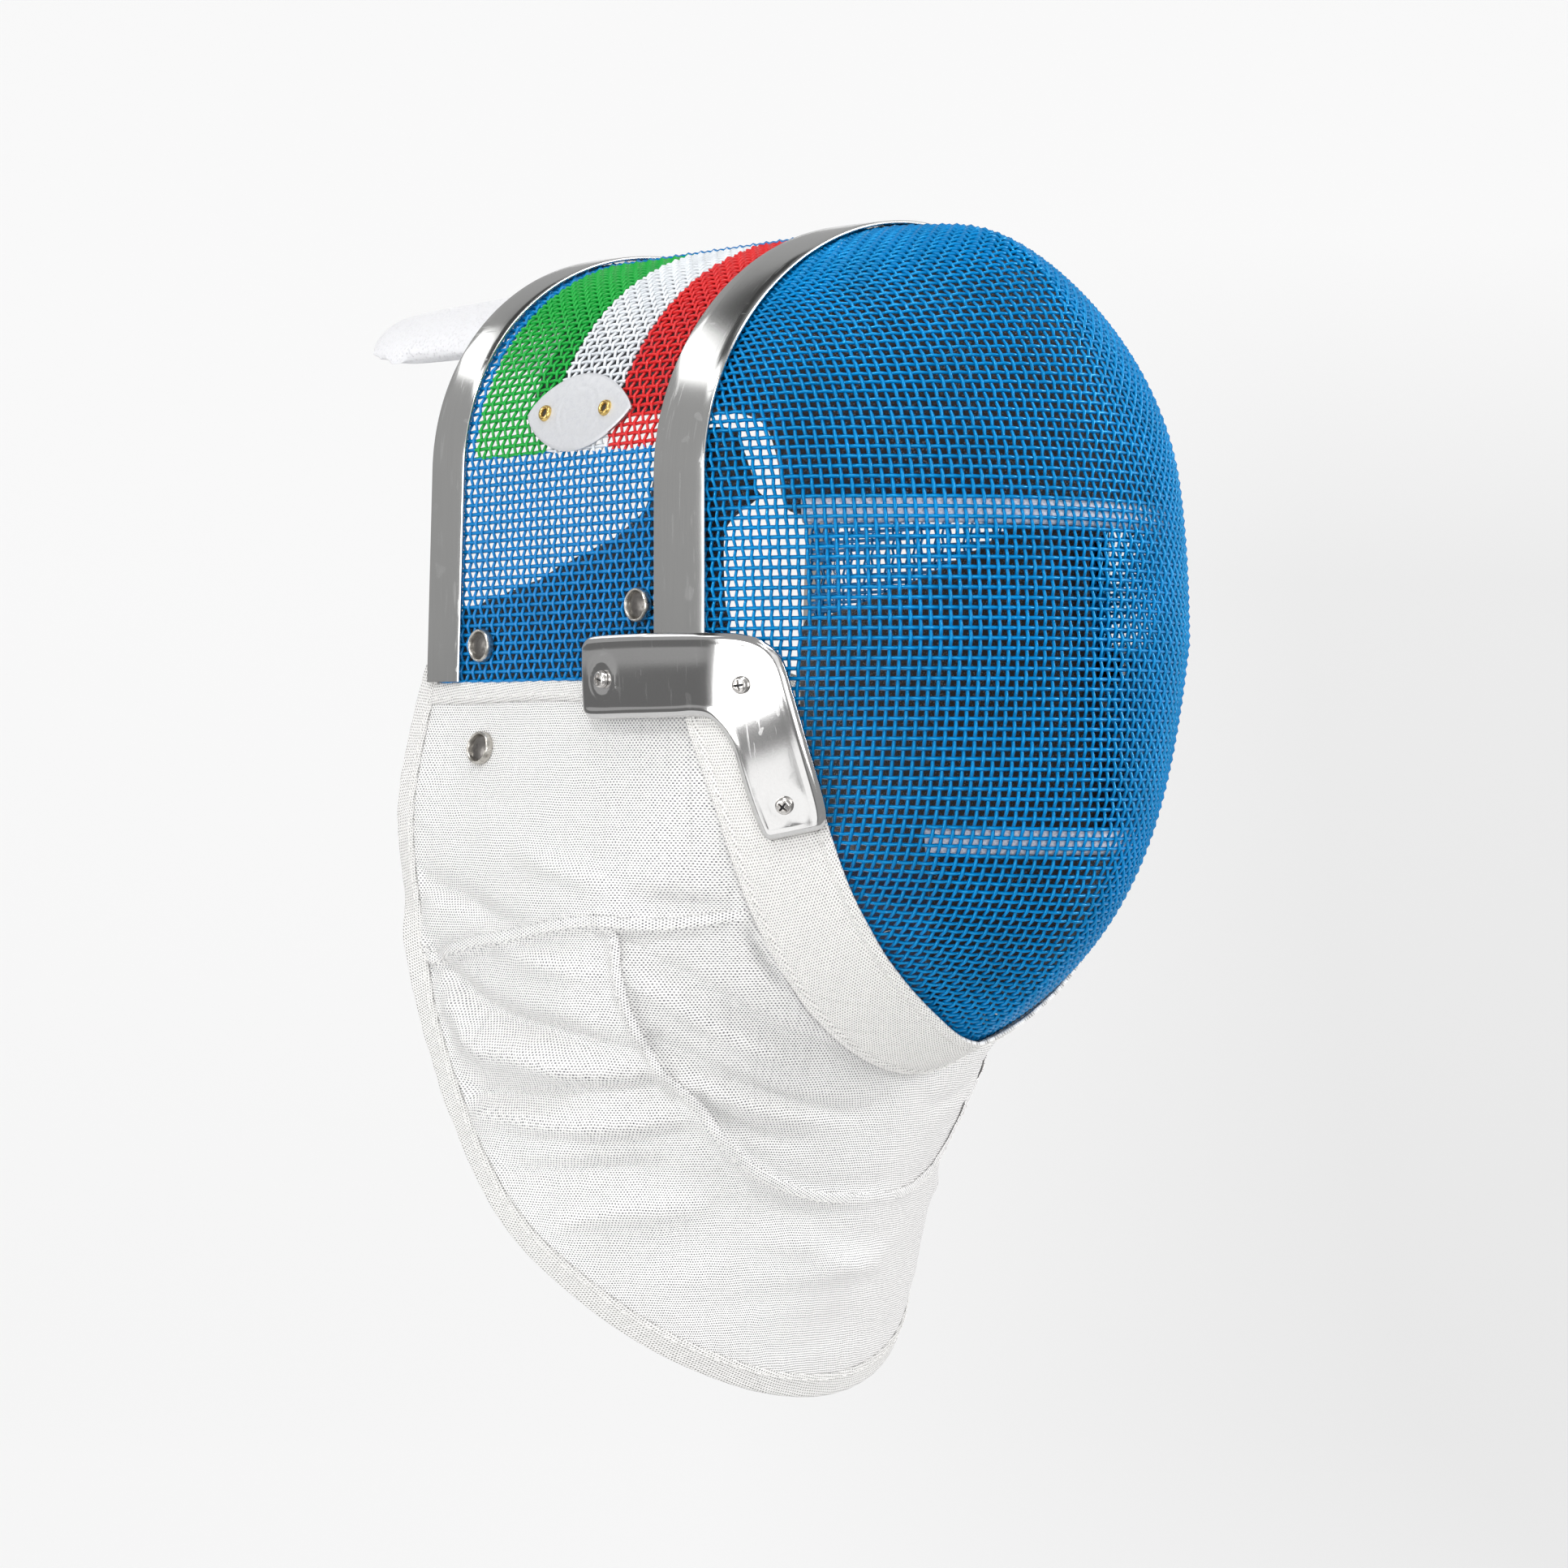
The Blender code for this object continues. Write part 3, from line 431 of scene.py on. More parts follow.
def painted_wire(name, colour):
    """Thick glossy paint over woven wire, a little uneven, with dust and fine pits."""
    paint = Finish(name, Roughness=0.25, Specular_IOR_Level=0.9, Specular_Tint=PAINT_SHINE,
                   Coat_Weight=0.04, Coat_Roughness=0.08)
    cloud = paint.noise(70, detail=4)
    shade = paint.blend(paint.fit(cloud, 0.3, 0.75), colour, [c * 0.75 for c in colour])
    dust = paint.fit(paint.noise(900, detail=2), 0.68, 0.76)
    paint.set("Base Color", paint.blend(paint.times(dust, 0.22), shade,
                                        (0.35, 0.55, 0.72)))
    paint.set("Roughness", paint.fit(cloud, 0.3, 0.7, 0.11, 0.22))
    paint.bump(paint.noise(1500, detail=2), 0.00006)
    return paint.material


def striped_wire():
    """The crown's paint: blue, with green, white and red arcs from the rear band forward."""
    paint = Finish("striped_wire", Roughness=0.26, Specular_IOR_Level=0.35, Coat_Weight=0.06,
                   Coat_Roughness=0.12)
    split = paint.node("SeparateXYZ", {"Vector": paint.coords.outputs["Object"]})
    x, y, z = split.outputs
    wander = paint.fit(paint.noise(330, detail=2), 0.3, 0.7, -0.8 * MM, 0.8 * MM)
    y = paint.plus(y, wander)
    z = paint.plus(z, wander)
    lean = paint.times(paint.sums("SUBTRACT", z, REAR_SPRING), REAR_LEAN)
    level = paint.plus(y, lean)

    def after(value, limit):
        return paint.sums("GREATER_THAN", value, limit)

    colour = STRIPES[0][1]
    for start, stripe in STRIPES[1:]:
        colour = paint.blend(after(level, FRONT_Y + start), colour, stripe)
    low = paint.sums("LESS_THAN", z, STRIPES_FOOT)
    colour = paint.blend(low, colour, BLUE)
    ridge = paint.sums("LESS_THAN", paint.sums("ABSOLUTE", x), STRIPES_GAP)
    colour = paint.blend(ridge, colour, BLUE)
    cloud = paint.noise(70, detail=4)
    colour = paint.blend(paint.fit(cloud, 0.45, 0.8, 0.0, 0.35), colour,
                         paint.blend(0.5, colour, (0.0, 0.02, 0.06)))
    paint.set("Base Color", colour)
    paint.set("Roughness", paint.fit(cloud, 0.3, 0.7, 0.18, 0.34))
    paint.bump(paint.noise(1500, detail=2), 0.00008)
    return paint.material


def polished_steel(name, colour, brushing, roughness, scratch_share=1.0):
    """Rolled steel with a fine brushed grain, cloudy wear and a few hair scratches."""
    steel = Finish(name, colour, Metallic=1.0, Roughness=roughness)
    grain = steel.noise(1.0, brushing, detail=4, rough=0.7)
    cloud = steel.noise(28, detail=5)
    scratch_a = steel.fit(steel.noise(60, (1, 14, 1.3), detail=1), 0.665, 0.675)
    scratch_b = steel.fit(steel.noise(75, (9, 1.5, 2.2), detail=1), 0.68, 0.69)
    scratches = steel.times(steel.sums("MAXIMUM", scratch_a, scratch_b),
                           scratch_share)
    rough = steel.plus(steel.fit(cloud, 0.3, 0.7, roughness * 0.8, roughness * 1.25),
                       steel.times(grain, roughness * 0.3))
    steel.set("Roughness", steel.plus(rough, steel.times(scratches, 0.1)))
    tone = steel.blend(steel.fit(grain, 0.3, 0.7), [c * 0.95 for c in colour], colour)
    steel.set("Base Color", steel.blend(steel.times(scratches, 0.15), tone,
                                        (0.9, 0.9, 0.9)))
    steel.bump(grain, 0.000004)
    return steel.material


def woven_cloth(name, colour, dark, across, down, gap_share, rough, metallic=0.0, relief=0.0001,
                sheen=0.15):
    """Plain-woven cloth: threads in the UV map's own millimetres, with gaps between them."""
    cloth = Finish(name, colour, Roughness=rough, Metallic=metallic, Sheen_Weight=sheen)
    place = cloth.place((1, 1, 1), "UV")
    wobble = cloth.node("TexNoise", {"Vector": place, "Scale": 0.09, "Detail": 3.0})
    moved = cloth.node("VectorMath", operation="ADD")
    scaled = cloth.node("VectorMath", operation="SCALE")
    cloth.feed(scaled.inputs[0], wobble.outputs["Color"])
    scaled.inputs["Scale"].default_value = 1.5
    cloth.feed(moved.inputs[0], place)
    cloth.feed(moved.inputs[1], scaled.outputs[0])
    split = cloth.node("SeparateXYZ", {"Vector": moved.outputs[0]})
    u, v = split.outputs[0], split.outputs[1]

    def wave(value, pitch):
        return cloth.sums("SINE", cloth.times(value, 2 * pi / pitch))

    threads, rows = wave(v, down * 2), wave(v, down)
    threads = cloth.times(threads, cloth.times(threads, threads))
    over = cloth.times(cloth.fit(wave(u, across * 2), -0.5, 0.5, -1.0, 1.0), threads)
    dots = cloth.fit(over, 0.1, 0.55)
    uneven = cloth.noise(0.5, source="UV", detail=3)
    dots = cloth.times(dots, cloth.fit(uneven, 0.3, 0.65, 0.55, 1.0))
    pull = cloth.fit(cloth.noise(0.3, (3.2, 0.02, 1), source="UV", detail=1), 0.56, 0.68)
    pull = cloth.times(pull, cloth.fit(cloth.noise(0.02, source="UV"), 0.4, 0.6))
    tone = cloth.blend(cloth.times(pull, 0.1), colour, dark)
    cloth.set("Base Color", cloth.blend(cloth.times(dots, gap_share), tone, dark))
    cloth.set("Roughness", cloth.fit(uneven, 0.3, 0.7, rough * 0.85, min(1.0, rough * 1.15)))
    height = cloth.plus(cloth.times(dots, -1.0),
                        cloth.times(rows, 0.25))
    cloth.bump(height, relief)
    return cloth.material


def plain_pad(name, colour, fleck, scale):
    """Close-knit padding cloth with flecks."""
    cloth = Finish(name, colour, Roughness=0.92, Sheen_Weight=0.3, Sheen_Roughness=0.5)
    cells = cloth.node("TexVoronoi", {"Vector": cloth.place(), "Scale": scale})
    spots = cloth.fit(cells.outputs["Distance"], 0.1, 0.42, 1.0, 0.0)
    cloud = cloth.noise(scale * 0.05, detail=4)
    flecks = cloth.times(spots, cloth.fit(cloud, 0.42, 0.62))
    cloth.set("Base Color", cloth.blend(flecks, colour, fleck))
    cloth.bump(cloth.plus(spots, cloth.times(cloud, 2.0)), 0.0002)
    return cloth.material


def thread(name, colour):
    strand = Finish(name, colour, Roughness=0.6, Sheen_Weight=0.3)
    twist = strand.noise(1600, (1, 1, 2.5), detail=2)
    strand.set("Base Color", strand.blend(strand.fit(twist, 0.35, 0.65), colour,
                                          [c * 0.75 for c in colour]))
    strand.bump(twist, 0.0001)
    return strand.material


def cast_metal(name, colour, roughness, metallic, tarnish):
    metal = Finish(name, colour, Metallic=metallic, Roughness=roughness)
    cloud = metal.noise(420, detail=5, rough=0.7)
    metal.set("Base Color", metal.blend(metal.fit(cloud, 0.48, 0.72), colour, tarnish))
    metal.set("Roughness", metal.fit(cloud, 0.3, 0.7, roughness * 0.7, roughness * 1.5))
    metal.bump(metal.noise(1300, detail=3), 0.00005)
    return metal.material


BLUE_WIRE = painted_wire("blue_wire", BLUE)
STRIPED_WIRE = striped_wire()
BAND_STEEL = polished_steel("band_steel", (0.62, 0.62, 0.61), (40, 2400, 40), 0.12)
PLATE_STEEL = polished_steel("plate_steel", (0.64, 0.635, 0.63), (30, 1500, 1500), 0.09, 0.8)
CAP_STEEL = cast_metal("cap_steel", (0.56, 0.54, 0.50), 0.28, 1.0, (0.25, 0.23, 0.2))
SCREW_STEEL = cast_metal("screw_steel", (0.66, 0.64, 0.62), 0.2, 1.0, (0.5, 0.48, 0.46))
LABEL_ALLOY = cast_metal("label_alloy", (0.62, 0.63, 0.65), 0.42, 0.35, (0.56, 0.57, 0.6))
BRASS = cast_metal("brass", (0.78, 0.56, 0.2), 0.22, 1.0, (0.5, 0.33, 0.1))
SILVER_CLOTH = woven_cloth("silver_cloth", (0.875, 0.865, 0.855), (0.10, 0.10, 0.12), 0.57, 0.85,
                           1.0, 0.5, 0.18, 0.00022)
NAVY_INNER_FACE = woven_cloth("navy_inner_face", (0.006, 0.022, 0.07), (0.002, 0.006, 0.02), 0.6, 0.5,
                          0.5, 0.9, sheen=0.3)
CANVAS = woven_cloth("canvas", (0.92, 0.905, 0.885), (0.26, 0.25, 0.24), 0.62, 0.8, 0.9, 0.85,
                     0.0, 0.0003)
BINDING_CANVAS = woven_cloth("binding_canvas", (0.82, 0.81, 0.795), (0.2, 0.2, 0.19), 0.6, 0.75,
                             0.9, 0.8, 0.0, 0.0003)
THREAD = thread("white_thread", (0.88, 0.87, 0.85))
CHARCOAL_PAD = plain_pad("charcoal_pad", (0.022, 0.023, 0.028), (0.2, 0.2, 0.22), 1100)
EDGE_TAPE = woven_cloth("edge_tape", (0.84, 0.84, 0.90), (0.5, 0.5, 0.56), 0.9, 0.7, 0.5, 0.85)
WHITE_PAD = plain_pad("white_pad", (0.74, 0.74, 0.76), (0.62, 0.62, 0.65), 900)
DOME_STEEL = cast_metal("dome_steel", (0.19, 0.18, 0.17), 0.38, 1.0, (0.10, 0.095, 0.09))
# Near-black painted shade for the screws' cross recesses and the hole inside each eyelet.
HOLE_SHADE = thread("hole_painted_shade", (0.012, 0.013, 0.02))


# ---- the woven face ----------------------------------------------------------------------------
def face_skin():
    """A fine skin of the face, carried straight back past the rim, to lay the net on."""
    lines = face_spokes(np.linspace(0, 2 * pi, 240, endpoint=False), MESH_INSET, 100)
    back = np.repeat(lines[:, -1:], 10, axis=1)
    back[:, :, 1] += np.linspace(12 * MM, 120 * MM, 10)
    skin = np.concatenate([lines[:, 1:], back], axis=1).transpose(1, 0, 2)
    rings, spokes = skin.shape[:2]
    vertices = np.vstack([skin.reshape(-1, 3), lines[:1, 0]])
    faces = grid_faces(rings, spokes, wrap=True).tolist()
    nose = rings * spokes
    faces += [(nose, (k + 1) % spokes, k) for k in range(spokes)]
    return BVHTree.FromPolygons(vertices.tolist(), faces)


def lay_net(skin, across, up, down):
    """A net of even cells laid from the nose outwards over the left half of the face.

    Row 0 of the result is the centre line, and every cell's sides keep the wire's pitch, so
    the cells shear where the face curves both ways, as woven wire does."""
    def main_line(angle, count):
        line = face_spokes([angle], MESH_INSET, 160)[0]
        line = np.vstack([line, line[-1] + (0, 150 * MM, 0)])
        return walk(line, run_length(line), np.arange(count + 1) * PITCH)

    net = np.zeros((across + 1, up + down + 1, 3))
    net[:, down] = main_line(0.0, across)
    net[0, down:] = main_line(pi / 2, up)
    net[0, :down + 1] = main_line(-pi / 2, down)[::-1]
    for step, count in ((1, up), (-1, down)):
        for i in range(1, across + 1):
            for k in range(1, count + 1):
                j = down + step * k
                a, b = Vector(net[i, j - step]), Vector(net[i - 1, j])
                corner = Vector(net[i - 1, j - step])
                place = a + b - corner
                for _ in range(NET_TRIES):
                    place = skin.find_nearest(place)[0]
                    place = a + (place - a).normalized() * PITCH
                    place = (place + b + (place - b).normalized() * PITCH) / 2
                net[i, j] = skin.find_nearest(place)[0]
    return net


def relax(net, skin, rounds):
    """Evens the net out where its cells close up."""
    rows, columns = net.shape[:2]
    for _ in range(rounds):
        push, share = np.zeros_like(net), np.zeros(net.shape[:2])
        for (di, dj), only_short in (((1, 0), False), ((0, 1), False), ((1, 1), True),
                                     ((1, -1), True)):
            low = slice(max(0, -dj), columns - max(0, dj))
            high = slice(max(0, dj), columns + min(0, dj))
            first, second = net[:rows - di, low], net[di:, high]
            gap = second - first
            length = np.linalg.norm(gap, axis=-1, keepdims=True) + 1e-9
            pull = gap / length * (length - PITCH) * 0.5
            if only_short:
                pull = np.where(length < PITCH, pull, 0)
            push[:rows - di, low] += pull
            push[di:, high] -= pull
            share[:rows - di, low] += 1
            share[di:, high] += 1
        moved = net + push / share[..., None]
        moved[0, :, 0] = 0.0
        for i in range(rows):
            for j in range(columns):
                if net[i, j, 1] < FRONT_Y + 60 * MM:
                    moved[i, j] = skin.find_nearest(moved[i, j])[0]
        moved[0] = net[0]
        net = moved
    return net


def weave(net, normals, keep, axis, crimp, phase):
    """The wires of a net that run along one axis, each rising and dipping at the crossings."""
    if axis == 0:
        net, normals, keep = net.transpose(1, 0, 2), normals.transpose(1, 0, 2), keep.T
    runs = []
    for i in range(net.shape[0]):
        inside = np.flatnonzero(keep[i])
        if len(inside) < 2:
            continue
        for stretch in np.split(inside, np.flatnonzero(np.diff(inside) > 1) + 1):
            if len(stretch) < 2:
                continue
            places = np.arange(stretch[0] * CRIMP_STEPS, stretch[-1] * CRIMP_STEPS + 1)
            places = places / CRIMP_STEPS
            low = np.floor(places).astype(int).clip(0, net.shape[1] - 2)
            share = (places - low)[:, None]
            centre = net[i, low] * (1 - share) + net[i, low + 1] * share
            normal = unit(normals[i, low] * (1 - share) + normals[i, low + 1] * share)
            swing = crimp * np.cos(pi * (places + i + phase))
            runs.append((centre + normal * swing[:, None], normal, WIRE_RADIUS))
    return runs


def weave_both_ways(net, normals, keep, wires, material, node):
    """Both directions of a net's wires; each of wires is a name, axis, crimp and phase."""
    for name, axis, crimp, phase in wires:
        runs = weave(net, normals, keep, axis, crimp, phase)
        piece = link(make_mesh(name, *tubes(runs, WIRE_SIDES)), name, material)
        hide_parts(node)


def make_front_mesh():
    skin = face_skin()
    half = relax(lay_net(skin, *NET_CELLS), skin, NET_ROUNDS)
    net = np.vstack([(half * (-1, 1, 1))[:0:-1], half])
    normals = grid_normals(net, (0, FRONT_Y + 20 * MM, FACE_NOSE))
    collar = COLLAR * np.clip((net[..., 2] - BAND_FOOT) / (12 * MM), 0.02, 1)
    keep = net[..., 1] < FRONT_Y + collar
    weave_both_ways(net, normals, keep, (("front_wires_across", 0, FLAT_CRIMP, 0),
                                         ("front_wires_upright", 1, STEEP_CRIMP, 1)),
                    BLUE_WIRE, "front_mesh")


def make_crown_mesh():
    length = run_length(front_arch(MESH_INSET, BAND_FOOT, 400))[-1]
    count = int(round(length / PITCH)) + 1
    front = front_arch(MESH_INSET, BAND_FOOT, count)
    rear = rear_arch(MESH_INSET, BAND_FOOT, count)
    lean = rear_lean(rear[:, 1])
    start, end = FRONT_Y + FRONT_BAND_WIDTH, REAR_Y - REAR_BAND_WIDTH + lean
    first, last = FRONT_Y + CROWN_START, REAR_Y - CROWN_END + lean
    columns = int(round((last.mean() - first) / PITCH)) + 1
    places = first + (last - first)[:, None] * np.linspace(0, 1, columns)[None]
    share = np.clip((places - start) / (end[:, None] - start), 0, 1)[..., None]
    flat = front[:, None] * (1 - share) + rear[:, None] * share
    net = np.stack([flat[..., 0], places, flat[..., 1]], -1)
    normals = grid_normals(net, (0, 0, -100 * MM))
    keep = np.ones(net.shape[:2], bool)
    weave_both_ways(net, normals, keep, (("crown_wires_across", 1, FLAT_CRIMP * 0.85, 1),
                                         ("crown_wires_arched", 0, STEEP_CRIMP * 1.1, 0)),
                    STRIPED_WIRE, "crown_mesh")


# ---- bands, plates and small hardware ----------------------------------------------------------
def make_band(name, make_arch, foot, front_y, width, lean):
    """A steel strip with softly rounded edges, swept over its arch."""
    count, round_off = 281, 0.42 * MM
    section = []
    for corner_y, corner_t, first in ((width, 0.0, 3), (width, 1.0, 0), (0.0, 1.0, 1),
                                      (0.0, 0.0, 2)):
        for k in range(4):
            angle = pi / 2 * (first + k / 3)
            centre_y = round_off if corner_y == 0 else corner_y - round_off
            centre_t = round_off if corner_t == 0 else BAND_THICK - round_off
            section.append((centre_y + round_off * cos(angle),
                            centre_t + round_off * sin(angle)))
        if corner_t == 1.0 and corner_y:
            section += [(width * s, BAND_THICK + 0.12 * MM * (1 - (2 * s - 1) ** 2))
                        for s in (0.8, 0.65, 0.5, 0.35, 0.2)]
    line = np.insert(make_arch(BAND_THICK, foot, count), 1, 0.0, axis=1)
    outer = np.insert(make_arch(0.0, foot, count), 1, 0.0, axis=1)
    along = unit(np.gradient(line, axis=0))
    outward = unit(np.cross(along, (0, 1, 0)))
    outward *= np.sign(((outer - line) * outward).sum(1))[:, None]
    points = np.array([[line[i] + outward[i] * t + (0, front_y + y + lean(line[i, 2]), 0)
                        for y, t in section] for i in range(count)])
    columns = len(section)
    faces = grid_faces(count, columns, wrap=True).tolist()
    faces += [list(range(columns)), list(range((count - 1) * columns, count * columns))[::-1]]
    band = link(make_mesh(name + "_steel", points, faces), name + "_steel", BAND_STEEL)
    close_up(band)
    band.data.set_sharp_from_angle(angle=radians(50))
    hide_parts(name)


def close_up(thing):
    """Turns a closed piece's faces outwards."""
    shape = bmesh.new()
    shape.from_mesh(thing.data)
    bmesh.ops.recalc_face_normals(shape, faces=shape.faces)
    shape.to_mesh(thing.data)
    shape.free()


PLATE_EDGES = (
    # outer y, z     inner y, z (mm, as in the part's source)
    (53.6,  37.2,    53.6,  20.2),
    (52.0,  40.4,    52.0,  17.6),
    (48.5,  41.8,    48.5,  16.6),
    (30.0,  42.2,    30.0,  16.8),
    (8.0,   42.1,    10.0,  17.0),
    (-8.0,  41.7,     2.0,  17.4),
    (-17.5, 41.0,    -3.2,  16.8),
    (-23.6, 38.8,    -6.2,  14.8),
    (-27.8, 34.0,    -8.6,  11.8),
    (-29.8, 25.0,   -10.4,   7.6),
    (-31.4, 13.0,   -11.3,   1.0),
    (-32.6,  0.0,   -12.0,  -7.0),
    (-32.8, -9.0,   -12.8, -14.0),
    (-31.8, -14.2,  -13.6, -18.0),
    (-29.6, -16.4,  -15.6, -19.6),
)
# Fasteners, each at its y and z in millimetres.
SIDES = ((-1, "right"), (1, "left"))
SCREWS = (("rear", 42.4, 28.6), ("elbow", -15.8, 26.4), ("lower", -22.4, -9.0))
SNAPS = (("rear", 111.4, 40.4), ("front", 30.4, 51.5))
BIB_SNAP = (110.3, 7.1)


def make_side_plate(label, side):
    """A pressed plate with a rolled edge, a raised ring round the rear screw and flats round the
    other two."""
    count, columns = 120, 33
    edges = np.array(PLATE_EDGES) * MM + (FRONT_Y, -SEAT_Z, FRONT_Y, -SEAT_Z)
    middle, half = (edges[:, :2] + edges[:, 2:]) / 2, (edges[:, 2:] - edges[:, :2]) / 2
    line = smooth_table(np.insert(np.hstack([middle, half]), 2, 0.0, axis=1), count)
    share = np.sin(np.linspace(-1, 1, columns) * pi / 2)
    flat = line[:, None, :2] + line[:, None, 3:] * share[None, :, None]
    reach = np.linalg.norm(line[:, 3:], axis=1) / MM
    edge = (1 - np.abs(share))[None] * reach[:, None]
    along = run_length(line)
    edge = np.minimum(edge, np.minimum(along, along[-1] - along)[:, None] / MM + 0.15)
    lift = -0.95 * bump(edge / 0.8) + 0.3 * bump((edge - 2.0) / 0.8)
    for name, y, z in SCREWS:
        away = np.hypot(flat[..., 0] - y * MM - FRONT_Y, flat[..., 1] - z * MM + SEAT_Z) / MM
        if name == "rear":
            lift += 0.45 * bump((away - 5.2) / 1.3)
        else:
            lift -= 0.3 * smooth_step((6.6 - away) / 3.4)
    points, _ = on_side(side, flat[..., 0], flat[..., 1], PLATE_LIFT + lift * MM)
    plate = grid_piece("side_plate_%s_steel" % label, points, PLATE_STEEL,
                       PLATE_THICK, flip=side > 0)
    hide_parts("side_plate_%s" % label)


def polar_piece(name, profile, place, normal, material, cross=None, sides=64, hole_shade=None):
    """A turned piece from (radii, heights); cross gives a screw's recess as (half_width, reach,
    depth), and the last argument a near-black material of painted shade for the recess, or for
    the first ring's disc."""
    turn = np.arange(sides) * 2 * pi / sides
    radii, heights = np.array(profile) * MM
    x, y = radii[:, None] * np.cos(turn), radii[:, None] * np.sin(turn)
    z = np.repeat(heights[:, None], sides, 1)
    if cross:
        half_width, reach, depth = (v * MM for v in cross)
        arm = np.minimum(np.abs(x), np.abs(y))
        inside = smooth_step((half_width - arm) / (0.16 * MM) + 0.5)
        inside *= smooth_step((reach - np.hypot(x, y)) / (0.25 * MM) + 0.5)
        z = z - depth * inside * (z > 0.5 * MM)
    points = np.stack([x, y, z], -1)
    rings = len(radii)
    faces = grid_faces(rings, sides, wrap=True).tolist()
    faces += [list(range(sides))[::-1], list(range((rings - 1) * sides, rings * sides))]
    thing = link(make_mesh(name, points, faces), name, material)
    # The first ring's disc, and with a cross the recess, get the near-black painted shade.
    if hole_shade:
        thing.data.materials.append(hole_shade)
        thing.data.polygons[len(faces) - 2].material_index = 1
    if hole_shade and cross:
        shaded_recess = inside.ravel() > 0.5
        for polygon in thing.data.polygons[:-2]:
            polygon.material_index = int(all(shaded_recess[k] for k in polygon.vertices))
    turned = Vector((0, 0, 1)).rotation_difference(Vector(normal)).to_matrix().to_4x4()
    spin = Matrix.Rotation(radians(hash_turn(name)), 4, "Z")
    thing.data.transform(Matrix.Translation(Vector(place)) @ turned @ spin)
    close_up(thing)
    thing.data.set_sharp_from_angle(angle=radians(50))
    return thing


def hash_turn(name):
    """A steady angle for each name, so that no two fasteners line up."""
    return sum(ord(c) * (k + 3) for k, c in enumerate(name)) % 90


# Turned profiles: radii and heights in millimetres, from the middle out.
SNAP_RING = ((3.95, 4.2, 4.32, 4.42, 4.62, 4.9, 5.15, 5.36, 5.48, 5.5, 5.4),
             (1.1, 1.12, 1.5, 2.05, 2.42, 2.55, 2.4, 2.0, 1.3, 0.5, 0.0))
SNAP_DOME = ((0.2, 0.8, 1.4, 2.0, 2.6, 3.2, 3.8, 4.35, 4.35),
             (2.15, 2.14, 2.08, 1.98, 1.84, 1.66, 1.44, 1.15, 0.2))
EYELET = ((1.3, 1.32, 1.42, 1.65, 1.95, 2.25, 2.5, 2.66, 2.7),
          (0.04, 0.5, 0.9, 1.15, 1.2, 1.1, 0.8, 0.4, -0.2))
SCREW_TOP = np.linspace(0.15, 2.1, 24)
SCREW_HEAD = ((0.06, *SCREW_TOP, 2.3, 2.48, 2.64, 2.75, 2.8, 2.8),
              (2.0, *(2.0 - 0.06 * SCREW_TOP * SCREW_TOP), 1.6, 1.4, 1.1, 0.75, 0.35, 0.0))
SCREW_CROSS = (0.27, 1.55, 0.9)


def make_snap(name, place, normal, node):
    """A pressed snap cap: a narrow rolled ring round a shallow dark dome."""
    for part, profile, metal in (("_ring", SNAP_RING, CAP_STEEL), ("_dome", SNAP_DOME, DOME_STEEL)):
        piece = polar_piece(name + part, profile, place, normal, metal)
        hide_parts(node)


def make_hardware(bib):
    """The plates' screws, and the snap caps on the crown and the bib."""
    for side, label in SIDES:
        for name, y, z in SCREWS:
            lift = PLATE_LIFT + PLATE_THICK / 2 + (0.15 if name == "rear" else -0.2) * MM
            place, normal = on_side(side, y * MM + FRONT_Y, z * MM - SEAT_Z, lift)
            # Each screw's cross recess is filled with near-black painted shade.
            screw = polar_piece("screw_%s_%s" % (name, label), SCREW_HEAD, place, normal,
                                SCREW_STEEL, SCREW_CROSS, 72, HOLE_SHADE)
            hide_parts("plate_screw_%s_%s" % (name, label))
        for name, y, z in SNAPS:
            place, normal = on_side(side, y * MM + FRONT_Y, z * MM - SEAT_Z,
                                    MESH_THICK / 2 + 0.2 * MM)
            make_snap("snap_%s_%s" % (name, label), place, normal,
                      "snap_cap_%s_%s" % (name, label))
        place, normal = bib.on_side(side, BIB_SNAP[0] * MM + FRONT_Y, BIB_SNAP[1] * MM - SEAT_Z,
                                    CLOTH_THICK / 2 + 0.1 * MM)
        make_snap("snap_bib_%s" % label, place, normal, "snap_cap_bib_%s" % label)


def make_label_plate():
    """The bare lens-shaped plate on the crown's right: a rim, two faint oval ridges and two
    eyelets."""
    front, rear, middle_z, half_height = 38.8, 89.6, 113.6, 12.3
    rows, columns = 91, 31
    share = (1 - np.cos(np.linspace(0, pi, rows))) / 2
    reach = np.sin(pi * np.clip(share, 0.004, 0.996) ** 1.1) ** 0.64
    y = (front + (rear - front) * share)[:, None] + np.zeros(columns)
    aside = np.sin(np.linspace(-pi / 2, pi / 2, columns))
    z = middle_z + half_height * np.maximum(reach, 0.03)[:, None] * aside
    edge = half_height * reach[:, None] * (1 - np.abs(aside))
    edge = np.minimum(edge, ((rear - front) * np.minimum(share, 1 - share))[:, None] + 0.1)
    lift = 1.75 + 0.35 * smooth_step(edge / 0.9)
    for wide, tall in ((10.2, 9.0), (7.2, 6.2)):
        ring = np.hypot((y - 64.4) / wide, (z - middle_z) / tall)
        lift += 0.22 * bump((ring - 1) * tall / 0.35)
    place, _ = on_side(-1, y * MM + FRONT_Y, z * MM - SEAT_Z, (lift - 0.3) * MM)
    plate = grid_piece("label_plate_blank", place, LABEL_ALLOY, 0.8 * MM)
    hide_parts("label_plate")
    for name, y_mm in (("front", 50.6), ("rear", 80.4)):
        place, normal = on_side(-1, y_mm * MM + FRONT_Y, 113.8 * MM - SEAT_Z, 2.25 * MM)
        # Each eyelet's hole is closed by a disc of near-black painted shade.
        ring = polar_piece("eyelet_" + name, EYELET, place, normal, BRASS, hole_shade=HOLE_SHADE)
        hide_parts("label_eyelet_" + name)


